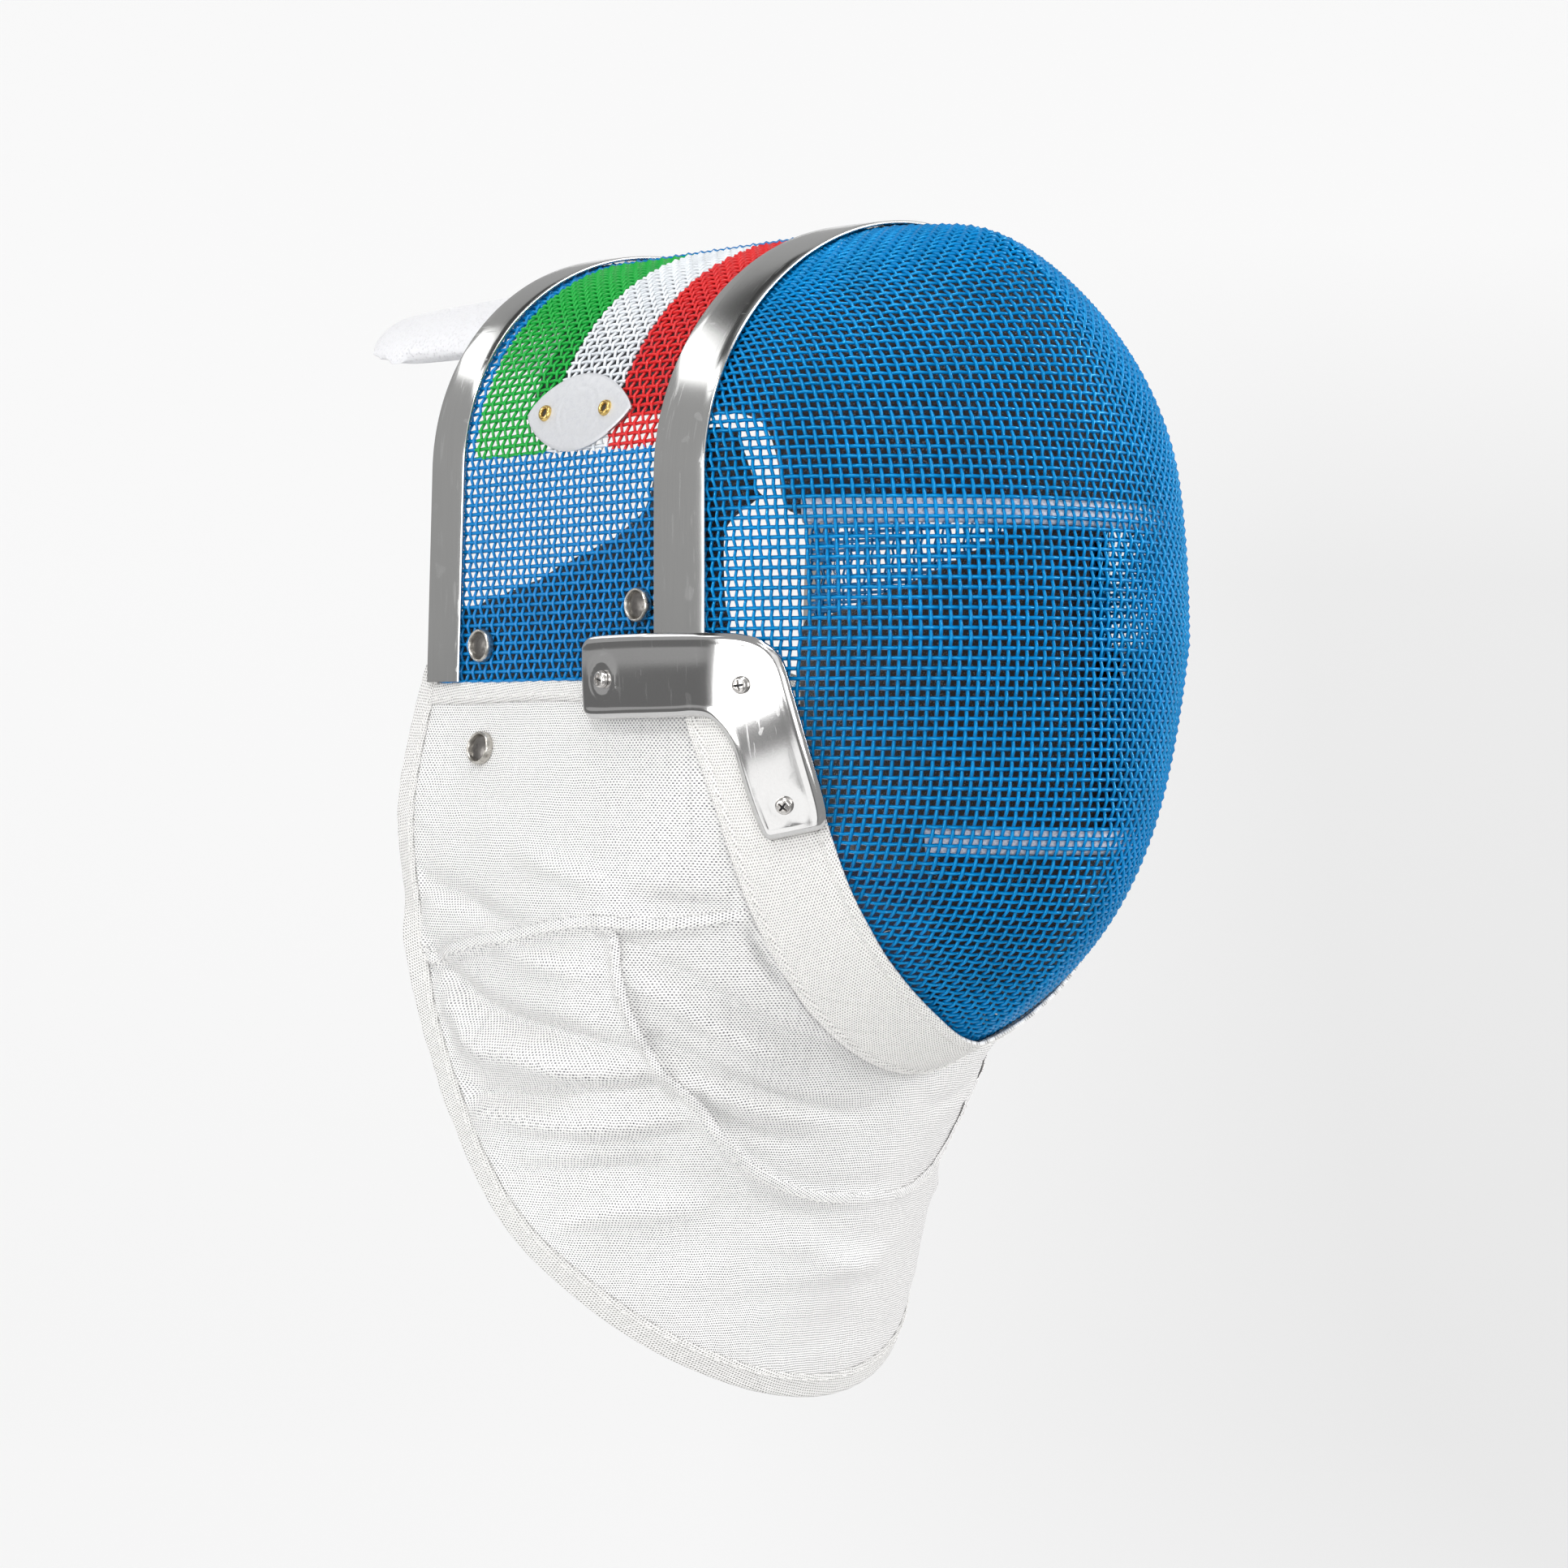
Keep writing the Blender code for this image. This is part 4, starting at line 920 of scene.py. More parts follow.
# ---- the cloth -------------------------------------------------------------------------------
BIB_STATIONS = (
    # top_y  top_z   low_x   low_y   low_z  belly  swing (mm, as in the part's source)
    (2.0,   -95.0,   0.0,   43.8, -206.0, -1.0,   0.0),
    (2.0,   -91.2,  24.0,   46.8, -203.0, -3.0,   0.0),
    (2.0,   -78.2,  45.0,   54.8, -195.0, -5.5,   0.0),
    (2.0,   -60.0,  62.0,   67.0, -184.0, -5.5,   0.0),
    (2.0,   -38.4,  77.0,   82.0, -168.5, -3.5,   0.0),
    (2.0,   -13.0,  85.5,   97.0, -153.0,  1.0,   0.0),
    (5.0,    14.0,  89.5,  110.0, -135.0,  4.0,   0.0),
    (40.0,   25.0,  91.5,  121.0, -114.0,  4.5,   0.0),
    (72.0,   28.0,  92.0,  129.5,  -96.0,  4.0,   1.0),
    (107.0,  28.0,  92.0,  134.5,  -81.0,  3.5,   3.0),
    (138.5,  27.8,  92.0,  138.5,  -60.0,  3.0,   4.5),
)
# Creases on the wearer's right, each a line of (across, down) places: across is -1 at the rear
# edge and 0 at the throat, down is 0 at the top edge and 1 at the free edge.  Then its width and
# height in millimetres, and how much one side stands over the other.
BIB_CREASES = (
    # the stitched seam with its rope of cloth, and the flange seam under the trim
    (((-0.96, 0.97), (-0.72, 0.67), (-0.62, 0.55), (-0.54, 0.45), (-0.43, 0.27),
      (-0.32, 0.04)), 2.4, 1.5, 1.2),
    (((-0.52, 0.42), (-0.45, 0.46), (-0.40, 0.48), (-0.35, 0.49), (-0.30, 0.47), (-0.24, 0.48),
      (-0.18, 0.49), (-0.09, 0.47), (-0.01, 0.43)), 2.6, 1.5, 0.9),
    # shallow folds behind the seam
    (((-0.95, 0.69), (-0.85, 0.63), (-0.73, 0.60), (-0.66, 0.57)), 4.0, -1.3, 0.0),
    (((-0.71, 0.43), (-0.62, 0.40), (-0.53, 0.37)), 3.5, 1.3, 0.0),
    (((-0.54, 0.38), (-0.46, 0.27), (-0.36, 0.10)), 4.2, -1.6, 0.5),
    # deep folds that fan out from the flange seam down to the free edge
    (((-0.84, 0.83), (-0.73, 0.81), (-0.58, 0.72), (-0.46, 0.60), (-0.38, 0.50)), 4.6, -2.6, 0.8),
    (((-0.77, 0.90), (-0.65, 0.86), (-0.48, 0.69), (-0.38, 0.56)), 4.4, 2.2, 0.0),
    (((-0.67, 0.64), (-0.55, 0.56), (-0.48, 0.48)), 3.4, 1.4, 0.0),
    (((-0.67, 0.98), (-0.54, 0.84), (-0.41, 0.63), (-0.32, 0.50)), 4.2, -2.0, 0.0),
    (((-0.61, 0.98), (-0.49, 0.83), (-0.38, 0.68), (-0.28, 0.51)), 3.8, 1.8, 0.0),
    (((-0.50, 0.96), (-0.39, 0.81), (-0.29, 0.66)), 3.8, -1.6, 0.0),
    (((-0.39, 0.94), (-0.29, 0.77), (-0.22, 0.66)), 3.8, 1.3, 0.0),
    # puckers between the flange seam and the trim
    (((-0.48, 0.39), (-0.41, 0.33), (-0.30, 0.22), (-0.19, 0.12), (-0.12, 0.04)), 3.4, -1.5, 0.0),
    (((-0.46, 0.43), (-0.38, 0.36), (-0.28, 0.27), (-0.17, 0.16)), 3.2, 1.4, 0.0),
    (((-0.37, 0.45), (-0.28, 0.37), (-0.18, 0.28), (-0.07, 0.19), (-0.03, 0.12)), 3.6, -1.5, 0.0),
    (((-0.30, 0.44), (-0.21, 0.35), (-0.11, 0.26)), 3.2, 1.3, 0.0),
    (((-0.27, 0.47), (-0.20, 0.41), (-0.12, 0.34)), 3.2, -1.1, 0.0),
    (((-0.11, 0.63), (-0.02, 0.62), (0.10, 0.74)), 5.0, 1.3, 0.0),
    (((-0.30, 0.05), (-0.26, 0.04), (-0.22, 0.02)), 2.6, -1.6, 0.6),
)


BIB_RIPPLES = (
    # length, width, seed, height at the top edge and what it gains below (mm)
    (46, 13.0, 3.1, 0.45, 0.90),
    (17, 6.5, 7.7, 0.16, 0.28),
    (8, 3.6, 1.3, 0.07, 0.08),
)
BIB_HALF = 330                       # the bib's half length round the neck, in millimetres
NECK = (0, 50 * MM, -220 * MM)       # a place inside the bib
BIB_GRID = (321, 109)
WEAVE_CENTRE_Y = 30 * MM             # the weave runs round an upright line here, with this
WEAVE_AROUND = 95.0                  # many millimetres of cloth to a radian,
WEAVE_DOWN = 1080.0                  # and this many to a metre of height
CREASE_DEPTH = 2.0                   # how much deeper the creases are than the table says
CREASE_PLACES = 30                   # places along each crease


class Bib:
    """The bib's middle surface as a fine grid, right rear edge to left rear edge by top to
    bottom, with ways to find places on it."""

    def __init__(self):
        self.count, self.rows = BIB_GRID
        self.across = np.linspace(-1, 1, self.count)
        self.down = np.linspace(0, 1, self.rows)
        self.plain = self.surface()
        self.drop = np.linalg.norm(np.diff(self.plain, axis=1), axis=-1).sum(1)
        depth = self.drop[:, None] * self.down
        free = np.minimum(depth, self.drop[:, None] - depth)
        side = np.minimum(self.across + 1, 1 - self.across)[:, None] * BIB_HALF * MM
        calm = smooth_step(free / (9 * MM)) * smooth_step(side / (16 * MM))
        throat = 1 - 0.6 * bump((self.across - 0.16) / 0.2)[:, None]
        height = CREASE_DEPTH * self.creases() * calm * throat
        height += self.ripples() * np.maximum(calm, 0.2) * throat
        self.points = self.plain + grid_normals(self.plain, NECK) * height[..., None]
        self.normals = grid_normals(self.points, NECK)

    def surface(self):
        """The bib without its folds, from the table of stations."""
        stations = []
        for top_y, top_z, low_x, low_y, low_z, belly, swing in BIB_STATIONS:
            y, z = top_y * MM + FRONT_Y, top_z * MM - SEAT_Z
            stations.append((float(side_x(y, z, BIB_INSET)), y, z, low_x * MM,
                             low_y * MM + FRONT_Y, low_z * MM - SEAT_Z, belly * MM, swing * MM))
        mirrored = [(-r[0], r[1], r[2], -r[3]) + r[4:] for r in stations[:0:-1]]
        rails = smooth_table(mirrored + stations, self.count)
        down = self.down
        top, low, belly = rails[:, None, 0:3], rails[:, None, 3:6], rails[:, None, 6:7]
        bound = BINDING_WIDTH + BINDING_REACH
        low = low + (top - low) * bound / np.linalg.norm(top - low, axis=-1, keepdims=True)
        flat = top + (low - top) * down[None, :, None]
        flat[..., 1] += rails[:, None, 7] * np.sin(pi * down[None, :] ** 0.8)
        swell = np.sin(pi * down ** 1.15) ** 2
        return flat + grid_normals(flat, NECK) * belly * swell[None, :, None]

    def at(self, across, down, grid=None):
        """Places on the grid for arrays of across and down."""
        grid = self.points if grid is None else grid
        i = (np.asarray(across) + 1) / 2 * (self.count - 1)
        j = np.asarray(down) * (self.rows - 1)
        i0 = np.clip(np.floor(i).astype(int), 0, self.count - 2)
        j0 = np.clip(np.floor(j).astype(int), 0, self.rows - 2)
        u, v = (i - i0)[..., None], (j - j0)[..., None]
        return ((grid[i0, j0] * (1 - u) + grid[i0 + 1, j0] * u) * (1 - v)
                + (grid[i0, j0 + 1] * (1 - u) + grid[i0 + 1, j0 + 1] * u) * v)

    def creases(self):
        """The folds on both sides, as heights over the plain surface."""
        height = np.zeros((self.count, self.rows))
        for mirror in (1, -1):
            for line, width, lift, step in BIB_CREASES:
                line = smooth_table([(a * mirror, d, 0.0) for a, d in line], CREASE_PLACES)
                places = self.at(line[:, 0], line[:, 1], self.plain)
                rows = self.plain.reshape(-1, 3)
                near, which = np.ones(len(rows)), np.zeros(len(rows))
                for k, (start, way) in enumerate(zip(places, np.diff(places, axis=0))):
                    share = np.clip((rows - start) @ way / (way @ way), 0, 1)
                    away = ((rows - start - share[:, None] * way) ** 2).sum(1)
                    closer = away < near
                    near[closer], which[closer] = away[closer], k + share[closer]
                distance = np.sqrt(near) / MM
                below = (np.tile(self.down, self.count)
                         - np.interp(which, np.arange(len(line)), line[:, 1]))
                sign = np.tanh(below * np.repeat(self.drop, self.rows) / (1.6 * MM))
                along = np.clip(which / (CREASE_PLACES - 1), 0.04, 0.96)
                fade = np.sin(pi * along) ** 0.35
                ridge = lift * bump(distance / width)
                over = step * sign * np.exp(-distance / (width * 2.2)) * (
                    1 - bump(distance / (width * 0.35)))
                height += ((ridge - over * 0.5) * fade).reshape(height.shape) * MM
        return height

    def ripples(self):
        """Soft puckers, longer along the folds than across them."""
        height = np.zeros((self.count, self.rows))
        for i in range(self.count):
            for j in range(self.rows):
                around, fall = self.across[i] * BIB_HALF, -self.plain[i, j, 2] * 1000
                lower = min(1.0, max(0.0, self.down[j] * 2.2 - 0.25))
                height[i, j] = sum(noise.noise((around / long, fall / short, seed))
                                   * (above + more * lower)
                                   for long, short, seed, above, more in BIB_RIPPLES)
        return height * MM

    def on_side(self, side, y, z, lift):
        """The place on the bib that is nearest to a y and z, lifted, and its normal."""
        away = (self.plain[..., 1] - y) ** 2 + (self.plain[..., 2] - z) ** 2
        away[self.plain[..., 0] * side < 0] = 1.0
        nearest = np.unravel_index(away.argmin(), away.shape)
        spread = self.normals[nearest[0] - 3:nearest[0] + 4, nearest[1] - 3:nearest[1] + 4]
        normal = unit(spread.reshape(-1, 3).sum(0))
        return self.points[nearest] + normal * lift, normal


def slant(uv, angle):
    """Flat coordinates turned by an angle, so that a weave runs on the slant."""
    c, s = cos(angle), sin(angle)
    return np.stack([uv[..., 0] * c - uv[..., 1] * s, uv[..., 0] * s + uv[..., 1] * c], -1)


def strip_uv(along, across, angle):
    """The same for a strip, from its two lengths in metres; the result is in millimetres."""
    return slant(np.stack(np.meshgrid(along, across, indexing="ij"), -1) / MM, angle)


def weave_uv(points, angle=0.0):
    """Cloth coordinates in millimetres: round the neck by up and down."""
    around = np.arctan2(points[..., 0], -(points[..., 1] - WEAVE_CENTRE_Y)) * WEAVE_AROUND
    return slant(np.stack([around, -points[..., 2] * WEAVE_DOWN], -1), angle)


def stitch_row(name, path, normals, lift, stitch=2.6 * MM, radius=0.24 * MM):
    """A row of short thread stitches that dip into the cloth at both ends."""
    length, gap = run_length(path), 0.7 * MM
    arc = (np.sin(np.linspace(0, pi, 5)) * 0.34 * MM - 0.12 * MM + lift)[:, None]
    runs = []
    for start in np.arange(gap, length[-1] - stitch, stitch + gap):
        places = start + stitch * np.linspace(0, 1, 5)
        normal = unit(walk(normals, length, places))
        runs.append((walk(path, length, places) + normal * arc, normal,
                     radius * np.array([0.7, 1, 1.05, 1, 0.7])))
    return link(make_mesh(name, *tubes(runs, 6)), name, THREAD)


def make_bib():
    """The bib's cloth, drawn near-black navy on its inner face, and its seams."""
    bib = Bib()
    cloth = grid_piece("bib_cloth", bib.points, SILVER_CLOTH, 1.5 * MM,
                       weave_uv(bib.points))
    # The inner faces of the cloth's wall are drawn near-black navy.
    cloth.data.materials.append(NAVY_INNER_FACE)
    cloth.modifiers["wall"].material_offset = 1
    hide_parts("bib")
    seams = []
    for side, label in SIDES:
        for name, crease in zip(("cheek_seam_", "flange_seam_"), BIB_CREASES):
            seams += make_seam(bib, name + label, [(-side * a, d, 0.0) for a, d in crease[0]])
    return bib


# Sections of a seam's welt and of the hem tape: how far each place lies down the cloth, and
# how high over its middle, in millimetres.
SEAM_PLACES = 150
SEAM_WELT = ((-2.9, 0.45), (-1.9, 0.85), (-0.9, 1.08), (0.0, 1.2), (0.5, 1.15), (0.8, 0.95),
             (0.95, 0.5), (1.0, -0.3), (0.9, -1.1))
HEM_TAPE = ((6.5, 0.85), (6.2, 1.2), (4.6, 1.3), (3.0, 1.24), (1.4, 1.3), (0.2, 1.22),
            (-0.5, 0.85), (-0.75, 0.0), (-0.5, -0.85), (0.4, -1.2), (2.0, -1.2), (4.5, -1.2))
BIAS = radians(45)


def make_seam(bib, name, line):
    """A seam's folded welt, proud along its lower edge, with a row of stitches over it."""
    line = smooth_table(line, SEAM_PLACES)
    path = bib.at(line[:, 0], line[:, 1])
    normal = unit(bib.at(line[:, 0], line[:, 1], bib.normals))
    soften(path, 3)
    down = np.cross(unit(np.gradient(path, axis=0)), normal)
    down *= -np.sign(down[SEAM_PLACES // 2, 2])
    number = np.arange(SEAM_PLACES)
    taper = smooth_step(np.minimum(number, number[::-1]) / 12)[:, None]
    wander = np.array([noise.noise((k * 0.11, 0.0, 4.0)) for k in number])[:, None] * 0.35 * MM
    points = np.stack([path + down * (reach * MM + wander) + normal * (lift * MM * taper)
                       for reach, lift in SEAM_WELT], 1)
    welt = grid_piece(name, points, SILVER_CLOTH, 0.3 * MM,
                      weave_uv(points, 0.5))
    stitches = stitch_row(name + "_stitches", points[6:-6, 3], normal[6:-6],
                          0.16 * MM, stitch=2.0 * MM, radius=0.15 * MM)
    return [welt, stitches]


def make_hem_tape(bib, label, low, high):
    """The canvas tape folded over the bib's top edge, behind the trim."""
    across = np.linspace(low, high, 161)
    drop = np.interp(across, bib.across, bib.drop)
    top = bib.at(across, np.zeros(len(across)))
    up = unit(top - bib.at(across, 4 * MM / drop))
    normal = unit(bib.at(across, np.zeros(len(across)), bib.normals))
    rows = []
    for depth, lift in HEM_TAPE:
        place = bib.at(across, max(depth, 0) * MM / drop)
        facing = bib.at(across, max(depth, 0) * MM / drop, bib.normals)
        facing = normal if depth <= 0 else unit(facing)
        rows.append(place + facing * lift * MM + up * max(-depth, 0) * MM)
    points = np.stack(rows, 1)
    around, length = run_length(np.array(HEM_TAPE) * MM), run_length(top)
    tape = grid_piece("hem_tape_" + label, points, BINDING_CANVAS, 0.4 * MM,
                      strip_uv(length, around, BIAS))
    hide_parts("bib")
    stitches = stitch_row("hem_stitches_" + label, points[2:-2, 2], normal[2:-2],
                          0.25 * MM, stitch=2.4 * MM)


TRIM_NARROWS = (-15 * MM, 44 * MM)   # from which height the strip narrows, and over how much
TRIM_LAPS = (-20 * MM, 34 * MM)      # the same for its growing overlap at the ears
TRIM_CHIN_REACH = 22 * MM            # how wide its cut under the chin is
TRIM_TURN = 3.6 * MM                 # its turned edges, and how far they stand up
TRIM_TURN_LIFT = 0.55 * MM
TRIM_GROOVE = 4.0 * MM               # the groove along each turned edge, and its depth
TRIM_GROOVE_DEPTH = 0.4 * MM


def rise_above(z, start, reach):
    """How far up a climb a height is, from 0 to 1.  Start counts from SEAT_Z below the seat."""
    return np.clip((z + SEAT_Z - start) / reach, 0, 1)


def make_trim():
    """The canvas strip round the face's lower rim, with its folded edges."""
    count, rows = 261, 37
    surface = MESH_INSET - MESH_THICK / 2 - 2 * GAP - TRIM_THICK / 2
    start = np.arctan2(BAND_FOOT - FACE_NOSE, FACE_HALF_WIDTH)
    spokes = face_spokes(np.linspace(-pi - start, start, count), surface, 120)
    points = np.zeros((count, rows, 3))
    width_at = np.zeros(count)
    share = np.linspace(0, 1, rows)
    share = 0.35 * share + 0.65 * (1 - np.cos(pi * share)) / 2
    for i, spoke in enumerate(spokes):
        climb = rise_above(spoke[-1, 2], *TRIM_NARROWS)
        low = bump(spoke[-1, 0] / TRIM_CHIN_REACH) if spoke[-1, 2] < FACE_NOSE else 0.0
        width = TRIM_WIDTH + (TRIM_END_WIDTH - TRIM_WIDTH) * climb - TRIM_CHIN_CUT * low
        ear = rise_above(spoke[-1, 2], *TRIM_LAPS) ** 1.5
        overlap = TRIM_OVERLAP + (TRIM_EAR_OVERLAP - TRIM_OVERLAP) * ear
        inward = np.vstack([spoke[-1] + (0, overlap, 0), spoke[::-1]])
        width_at[i] = width + overlap
        points[i] = walk(inward, run_length(inward), width_at[i] * share)
    normals = grid_normals(points, (0, FRONT_Y + 30 * MM, FACE_NOSE - 30 * MM))
    inward = width_at[:, None] * share
    from_edge = np.minimum(inward, width_at[:, None] - inward)
    fold = TRIM_TURN_LIFT * smooth_step((TRIM_TURN - from_edge) / (0.5 * MM))
    fold -= TRIM_GROOVE_DEPTH * bump((from_edge - TRIM_GROOVE) / (0.6 * MM))
    ripple = np.array([[noise.noise((i * 0.105, j * 0.195, 5.0)) * 0.28
                        + noise.noise((i * 0.37, j * 0.37, 9.0)) * 0.10 for j in range(rows)]
                       for i in range(count)]) * MM
    shaped = points + normals * (fold + ripple)[..., None]
    around = run_length(shaped[:, rows // 2])
    uv = slant(np.stack([np.repeat(around[:, None], rows, 1), inward], -1) / MM, radians(38))
    trim = grid_piece("trim_canvas", shaped, CANVAS, TRIM_THICK, uv)
    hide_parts("bib_trim")
    stitches, index = [], np.arange(count)
    for label, reach in (("outer", 2.6 * MM / width_at), ("inner", 1 - 3.0 * MM / width_at)):
        place = np.interp(reach, share, np.arange(rows))
        low = np.floor(place).astype(int)
        part = (place - low)[:, None]
        path = shaped[index, low] * (1 - part) + shaped[index, low + 1] * part
        stitches.append(stitch_row("trim_stitches_" + label, path[3:-3],
                                   normals[index, low][3:-3], 0.62 * MM))


def make_binding(bib):
    """A bias tape folded over the bib's rear and bottom edges."""
    points, normals = bib.points, bib.normals
    rise = np.linspace(5.0, 0.5, 6)[:, None] * MM
    starts = [points[k, 0] + unit(points[k, 0] - points[k, 4]) * rise for k in (0, -1)]
    edge = np.vstack([starts[0], points[0, :-1], points[:, -1], points[-1, -2::-1],
                      starts[1][::-1]])
    normal = np.vstack([normals[:1, 0].repeat(6, 0), normals[0, :-1], normals[:, -1],
                        normals[-1, -2::-1], normals[-1:, 0].repeat(6, 0)])
    both = spread_evenly(np.hstack([edge, normal]), 460)
    soften(both, 11)
    edge, normal = both[:, :3], both[:, 3:]
    along = unit(np.gradient(edge, axis=0))
    outward = unit(np.cross(along, unit(normal)))
    normal = np.cross(outward, along)
    profile = []
    reach_out = BINDING_REACH + BINDING_WIDTH
    for share in np.linspace(0, 1, 9):
        profile.append((-1.9 * MM + share * (reach_out + 0.5 * MM),
                        1.02 * MM + 0.28 * MM * sin(pi * min(1.0, share * 1.2) ** 0.6)))
    for angle in np.linspace(radians(60), radians(-60), 5):
        profile.append((reach_out - 0.9 * MM + 0.9 * MM * cos(angle), 1.0 * MM * sin(angle)))
    profile += [(a, -b) for a, b in profile[8::-1]]
    shape = np.array(profile)
    around, length = run_length(shape), run_length(edge)
    bumps = np.array([noise.noise((s * 240, 0.0, 2.0)) for s in length]) * 0.22
    grid = (edge[:, None] + outward[:, None] * shape[None, :, :1]
            + normal[:, None] * (shape[None, :, 1:] * (1 + bumps[:, None, None])))
    tape = grid_piece("binding_tape", grid, BINDING_CANVAS, 0.35 * MM,
                      strip_uv(length, around, BIAS))
    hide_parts("bib_binding")
    stitches = [stitch_row("binding_stitches" + name, grid[2:-2, row], normal[2:-2] * side,
                           0.22 * MM, stitch=2.4 * MM)
                for name, row, side in (("", 2, 1), ("_inner", -3, -1))]


# ---- padding ---------------------------------------------------------------------------------
PADS = (
    # node, voxel, pressure, the farthest it may swell, how far it is drawn in first
    ("forehead_pad", 3.6 * MM, 3.0, 1.4 * MM, 0.3 * MM),
    ("cheek_pad_right", 2.6 * MM, 3.0, 1.4 * MM, 0.3 * MM),
    ("cheek_pad_left", 2.6 * MM, 3.0, 1.4 * MM, 0.3 * MM),
    ("chin_pad", 3.0 * MM, 3.0, 1.4 * MM, 0.3 * MM),
    ("rear_tongue", 3.0 * MM, 4.0, 2.5 * MM, 0.6 * MM),
)
PAD_FRAMES = 18
BROW_HEM = 80 * MM - SEAT_Z          # where the forehead padding ends, and how far it hangs
BROW_DROP = 4.5 * MM                 # below that at its front edge


def read(mesh, what="co"):
    values = np.empty(len(mesh.vertices) * 3)
    mesh.vertices.foreach_get(what, values)
    return values.reshape(-1, 3)


def place_vertices(mesh, places):
    mesh.vertices.foreach_set("co", places.ravel())
    mesh.update()


def add_modifier(thing, kind, **settings):
    made = thing.modifiers.new(kind.lower(), kind)
    for key, value in settings.items():
        setattr(made, key, value)
    return made


def solid_copy(thing):
    """The thing's mesh with its modifiers applied."""
    return bpy.data.meshes.new_from_object(
        thing.evaluated_get(bpy.context.evaluated_depsgraph_get()))


def apply_modifiers(thing):
    done = solid_copy(thing)
    thing.modifiers.clear()
    old, thing.data = thing.data, done
    bpy.data.meshes.remove(old)


def blow_up(pad, pressure, farthest):
    """Swells a pad by a cloth simulation with pressure inside, no farther than a limit."""
    base = read(pad.data)
    cloth = add_modifier(pad, "CLOTH")
    for key, value in dict(quality=4, use_pressure=True, uniform_pressure_force=pressure,
                           tension_stiffness=30, compression_stiffness=30, shear_stiffness=12,
                           bending_stiffness=1.0).items():
        setattr(cloth.settings, key, value)
    cloth.settings.effector_weights.gravity = 0.0
    cloth.point_cache.frame_start, cloth.point_cache.frame_end = 1, PAD_FRAMES
    for number in range(1, PAD_FRAMES + 1):
        bpy.context.scene.frame_set(number)
    apply_modifiers(pad)
    bpy.context.scene.frame_set(1)
    move = read(pad.data) - base
    length = np.linalg.norm(move, axis=1, keepdims=True) + 1e-9
    place_vertices(pad.data, base + move * np.minimum(1.0, farthest / length))


def puff(node, name, material, slot, voxel, pressure, farthest, shrink):
    """A padded copy of a node's solid."""
    mesh = solid_copy(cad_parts[node])
    mesh.materials.clear()
    pad = link(mesh, name, material)
    add_modifier(pad, "REMESH", mode="VOXEL", voxel_size=voxel)
    apply_modifiers(pad)
    rest = read(pad.data) - read(pad.data, "normal") * shrink
    if node == "forehead_pad":
        near = 1 - smooth_step((rest[:, 2] - BROW_HEM) / (16 * MM))
        rest[:, 2] -= BROW_DROP * near * (rest[:, 1] < FRONT_Y + 20 * MM)
    place_vertices(pad.data, rest)
    add_modifier(pad, "SMOOTH", factor=0.5, iterations=4)
    apply_modifiers(pad)
    blow_up(pad, pressure, farthest)
    add_modifier(pad, "SUBSURF", levels=1, render_levels=1)
    add_modifier(pad, "DECIMATE", ratio=0.5)
    pad.data.shade_smooth()
    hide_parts(node)
    return pad


def edge_strip(name, low_z, high_z, reach):
    """A light tape along a pad's edge inside the face, between two heights.  Reach is how far
    it goes round the face, as a share of a quarter turn."""
    outer = MESH_INSET + MESH_THICK / 2 + PAD_GAP
    share = np.linspace(-1, 1, 9)
    turn = np.linspace(-reach, reach, 120) * pi / 2
    points = []
    for s in share:
        z = (low_z + high_z) / 2 + (high_z - low_z) / 2 * s
        inset = outer - 0.9 * MM * np.sqrt(max(0.0, 1 - s * s)) ** 0.7
        power = float(section_power(np.array(z)))
        x = rim_half_width(z, inset) * np.sign(turn) * np.abs(np.sin(turn)) ** (2 / power)
        points.append(np.stack([x, FRONT_Y - face_forward(x, z, inset), np.full(len(x), z)], 1))
    points = np.array(points).transpose(1, 0, 2)
    uv = strip_uv(run_length(points[:, 4]), share * (high_z - low_z) / 2, 0)
    return grid_piece(name, points, EDGE_TAPE, 0.5 * MM, uv)


def make_pads():
    """The dark pads, their light edge tapes, and the white tongue."""
    *dark, tongue = PADS
    for node, *sizes in dark:
        name = node.replace("_pad", "_padding")
        puff(node, name, CHARCOAL_PAD, "charcoal_pad", *sizes)
    for node, low, high, reach in (("forehead_pad", 75.4, 83.4, 0.74),
                                   ("chin_pad", -26.4, -18.4, 0.5)):
        tape = edge_strip(node + "_edge_tape", low * MM - SEAT_Z, high * MM - SEAT_Z, reach)
        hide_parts(node)
    puff(tongue[0], "tongue_padding", WHITE_PAD, "white_pad", *tongue[1:])


# ---- the stage, the light and the camera (in metres) -------------------------------------------
FLOOR_Z, FLOOR_NEAR, FLOOR_FAR = -0.62, -0.35, 1.6
SWEEP_RADIUS = 0.9                   # how the floor curves up into the backdrop
BACKDROP_TOP = 0.75
PAPER_COLUMNS = (-1.3, -0.5, 0.5, 1.3)
PAPER_GLOW = 0.73
PAPER_PAINTED_SHADE = 0.15                   # how much of the glow is taken away low down on the right, as painted shade
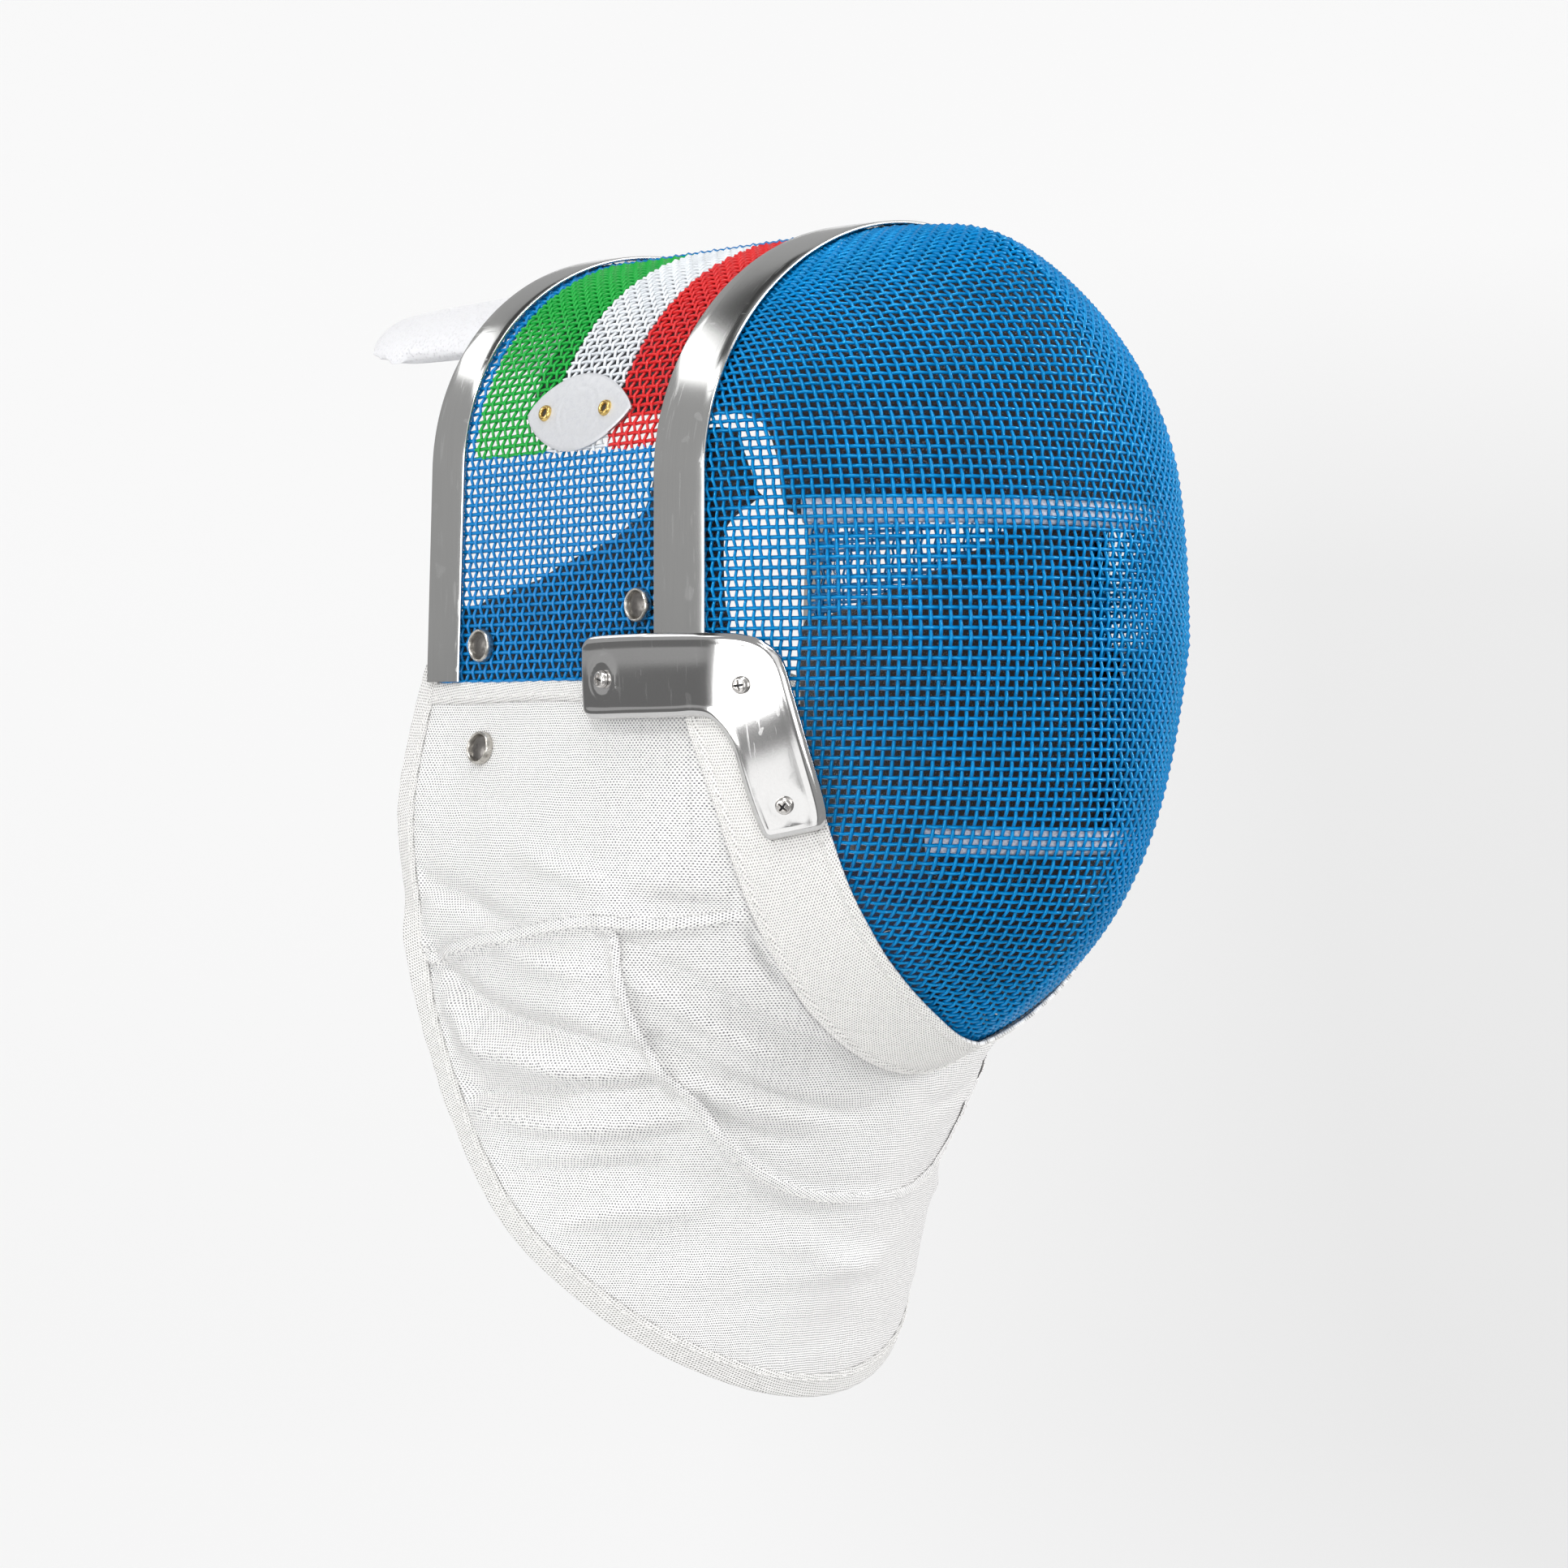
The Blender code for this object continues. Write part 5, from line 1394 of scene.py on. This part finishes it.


def make_stage():
    """A pale floor that curves up into a backdrop behind the mask; the paper glows, with painted
    shade low down on the right.
    """
    ahead = np.array([1, 1, 0]) / np.sqrt(2)
    across = np.array([1, -1, 0]) / np.sqrt(2)
    turn = np.linspace(0, pi / 2, 24)
    line = [(FLOOR_NEAR, FLOOR_Z)]
    line += [(FLOOR_FAR + SWEEP_RADIUS * sin(t), FLOOR_Z + SWEEP_RADIUS * (1 - cos(t)))
             for t in turn]
    line += [(FLOOR_FAR + SWEEP_RADIUS, BACKDROP_TOP)]
    points = np.array([[ahead * d + across * w + (0, 0, z) for w in PAPER_COLUMNS]
                       for d, z in line])
    paper = Finish("studio_paper", (0.18, 0.18, 0.18), Roughness=0.95)
    split = paper.node("SeparateXYZ", {"Vector": paper.coords.outputs["Object"]}).outputs
    # Painted shade: the paper's glow is dimmed towards its low right-hand part.
    sideways = paper.sums("MULTIPLY", paper.sums("SUBTRACT", split[0], split[1]), 0.7071)
    shade = paper.sums("MULTIPLY", paper.fit(sideways, -0.05, 0.45), paper.fit(split[2], 0.3, 0.0))
    glow = paper.sums("SUBTRACT", 1.0, paper.sums("MULTIPLY", shade, PAPER_PAINTED_SHADE))
    paper.set("Emission Color", (1.0, 1.0, 1.0))
    paper.set("Emission Strength", paper.sums("MULTIPLY", glow, PAPER_GLOW))
    mesh = make_mesh("studio_sweep", points, grid_faces(len(line), len(PAPER_COLUMNS), flip=True))
    sweep = add_object("studio_sweep", mesh)
    mesh.materials.append(paper.material)
    mesh.shade_smooth()


MASK_MIDDLE = (0, 0, -0.15)
LIGHTS = (
    # name, place, size across and up, watts; all aim at the mask's middle
    ("key", (-1.5, -0.6, 1.15), (0.3, 0.3), 10),
    ("top", (-0.5, -0.6, 1.5), (0.7, 0.7), 9),
    ("front", (-1.3, -2.0, -0.3), (1.2, 1.0), 14),
    ("right", (1.0, -1.6, 0.5), (0.6, 0.9), 21),
)
# What the steel mirrors: soft boxes and dark gaps on the studio's walls.  Each is a direction,
# its half-sizes across and up, how soft its edge is, and its brightness.
STUDIO_PATCHES = (
    ((-0.66, 0.75, 0.34), (0.30, 0.34), 0.10, 0.47),
    ((-0.62, 0.78, -0.20), (0.30, 0.20), 0.06, 0.20),
    ((-0.30, 0.70, 0.63), (0.34, 0.085), 0.04, 2.4),
    ((-0.02, 0.66, 0.76), (0.40, 0.085), 0.06, 0.06),
    ((-0.70, -0.65, 0.25), (0.35, 0.45), 0.15, 1.2),
    ((-0.95, 0.22, -0.05), (0.28, 0.23), 0.08, 5.0),
    ((-0.94, 0.06, -0.345), (0.32, 0.065), 0.05, 0.34),
    ((-0.83, 0.05, -0.64), (0.17, 0.24), 0.08, 1.45),
    ((-0.84, -0.28, -0.46), (0.11, 0.24), 0.06, 0.22),
    ((0.75, -0.45, 0.35), (0.25, 0.60), 0.15, 1.3),
)


def aim(thing, place, towards):
    thing.location = place
    way = Vector(towards) - Vector(place)
    thing.rotation_euler = way.to_track_quat("-Z", "Y").to_euler()


def make_world():
    world = bpy.data.worlds.new("studio")
    bpy.context.scene.world = world
    world.use_nodes = True
    tree = world.node_tree

    def node(kind, *inputs, **settings):
        made = tree.nodes.new("ShaderNode" + kind)
        for key, value in settings.items():
            setattr(made, key, value)
        for k, value in enumerate(inputs):
            if isinstance(value, bpy.types.NodeSocket):
                tree.links.new(value, made.inputs[k])
            elif value is not None:
                made.inputs[k].default_value = value
        return made

    def fit(value, low, high, to_low, to_high):
        made = node("MapRange", value, low, high, to_low, to_high,
                    interpolation_type="SMOOTHSTEP")
        return made.outputs[0]

    way = node("TexCoord").outputs["Generated"]
    height = node("SeparateXYZ", way).outputs[2]
    level = fit(height, -0.8, 0.9, 0.40, 0.45)
    for direction, (half_across, half_up), soft, brightness in STUDIO_PATCHES:
        towards = Vector(direction).normalized()
        across = towards.cross((0, 0, 1)).normalized()
        up = across.cross(towards)
        mask = fit(node("VectorMath", way, towards, operation="DOT_PRODUCT").outputs["Value"],
                   0.0, 0.1, 0.0, 1.0)
        for axis, half in ((across, half_across), (up, half_up)):
            reach = node("VectorMath", way, axis, operation="DOT_PRODUCT").outputs["Value"]
            reach = node("Math", reach, operation="ABSOLUTE").outputs[0]
            inside = fit(reach, half - soft / 2, half + soft / 2, 1.0, 0.0)
            mask = node("Math", mask, inside, operation="MULTIPLY").outputs[0]
        level = fit(mask, 0.0, 1.0, level, brightness)
    background = tree.nodes["Background"]
    tree.links.new(level, background.inputs["Strength"])
    background.inputs["Color"].default_value = (1, 1, 1, 1)


def make_lights():
    for name, place, size, watts in LIGHTS:
        light = bpy.data.lights.new(name, "AREA")
        light.shape = "RECTANGLE"
        light.size, light.size_y = size
        light.energy = watts
        aim(add_object(name, light), place, MASK_MIDDLE)


CAMERA_PLACE = (-1.1029, -1.1025, -0.160)
CAMERA_WAY = (1, 1, 0)
CAMERA_LENS, CAMERA_SENSOR = 108.0, 36.0    # both in millimetres
CAMERA_SHIFT = -0.0093                      # how the photograph is framed


def make_camera():
    """The photograph's view: level, from the wearer's right front."""
    data = bpy.data.cameras.new("camera")
    data.lens, data.sensor_width = CAMERA_LENS, CAMERA_SENSOR
    data.shift_y = CAMERA_SHIFT
    data.clip_start, data.clip_end = 0.05, 50
    camera = add_object("camera", data)
    camera.location = CAMERA_PLACE
    camera.rotation_euler = Vector(CAMERA_WAY).to_track_quat("-Z", "Y").to_euler()
    bpy.context.scene.camera = camera


make_camera()
make_stage()
make_world()
make_lights()
make_front_mesh()
make_crown_mesh()
make_band("front_band", front_arch, BAND_FOOT + 2 * MM, FRONT_Y, FRONT_BAND_WIDTH,
          lambda z: 0.0)
make_band("rear_band", rear_arch, BAND_FOOT, REAR_Y - REAR_BAND_WIDTH, REAR_BAND_WIDTH,
          rear_lean)
for plate_side, plate_label in SIDES:
    make_side_plate(plate_label, plate_side)
the_bib = make_bib()
make_hem_tape(the_bib, "right", -0.995, -0.64)
make_hem_tape(the_bib, "left", 0.64, 0.995)
make_trim()
make_binding(the_bib)
make_hardware(the_bib)
make_label_plate()
make_pads()
bpy.context.scene.view_settings.view_transform = "Standard"
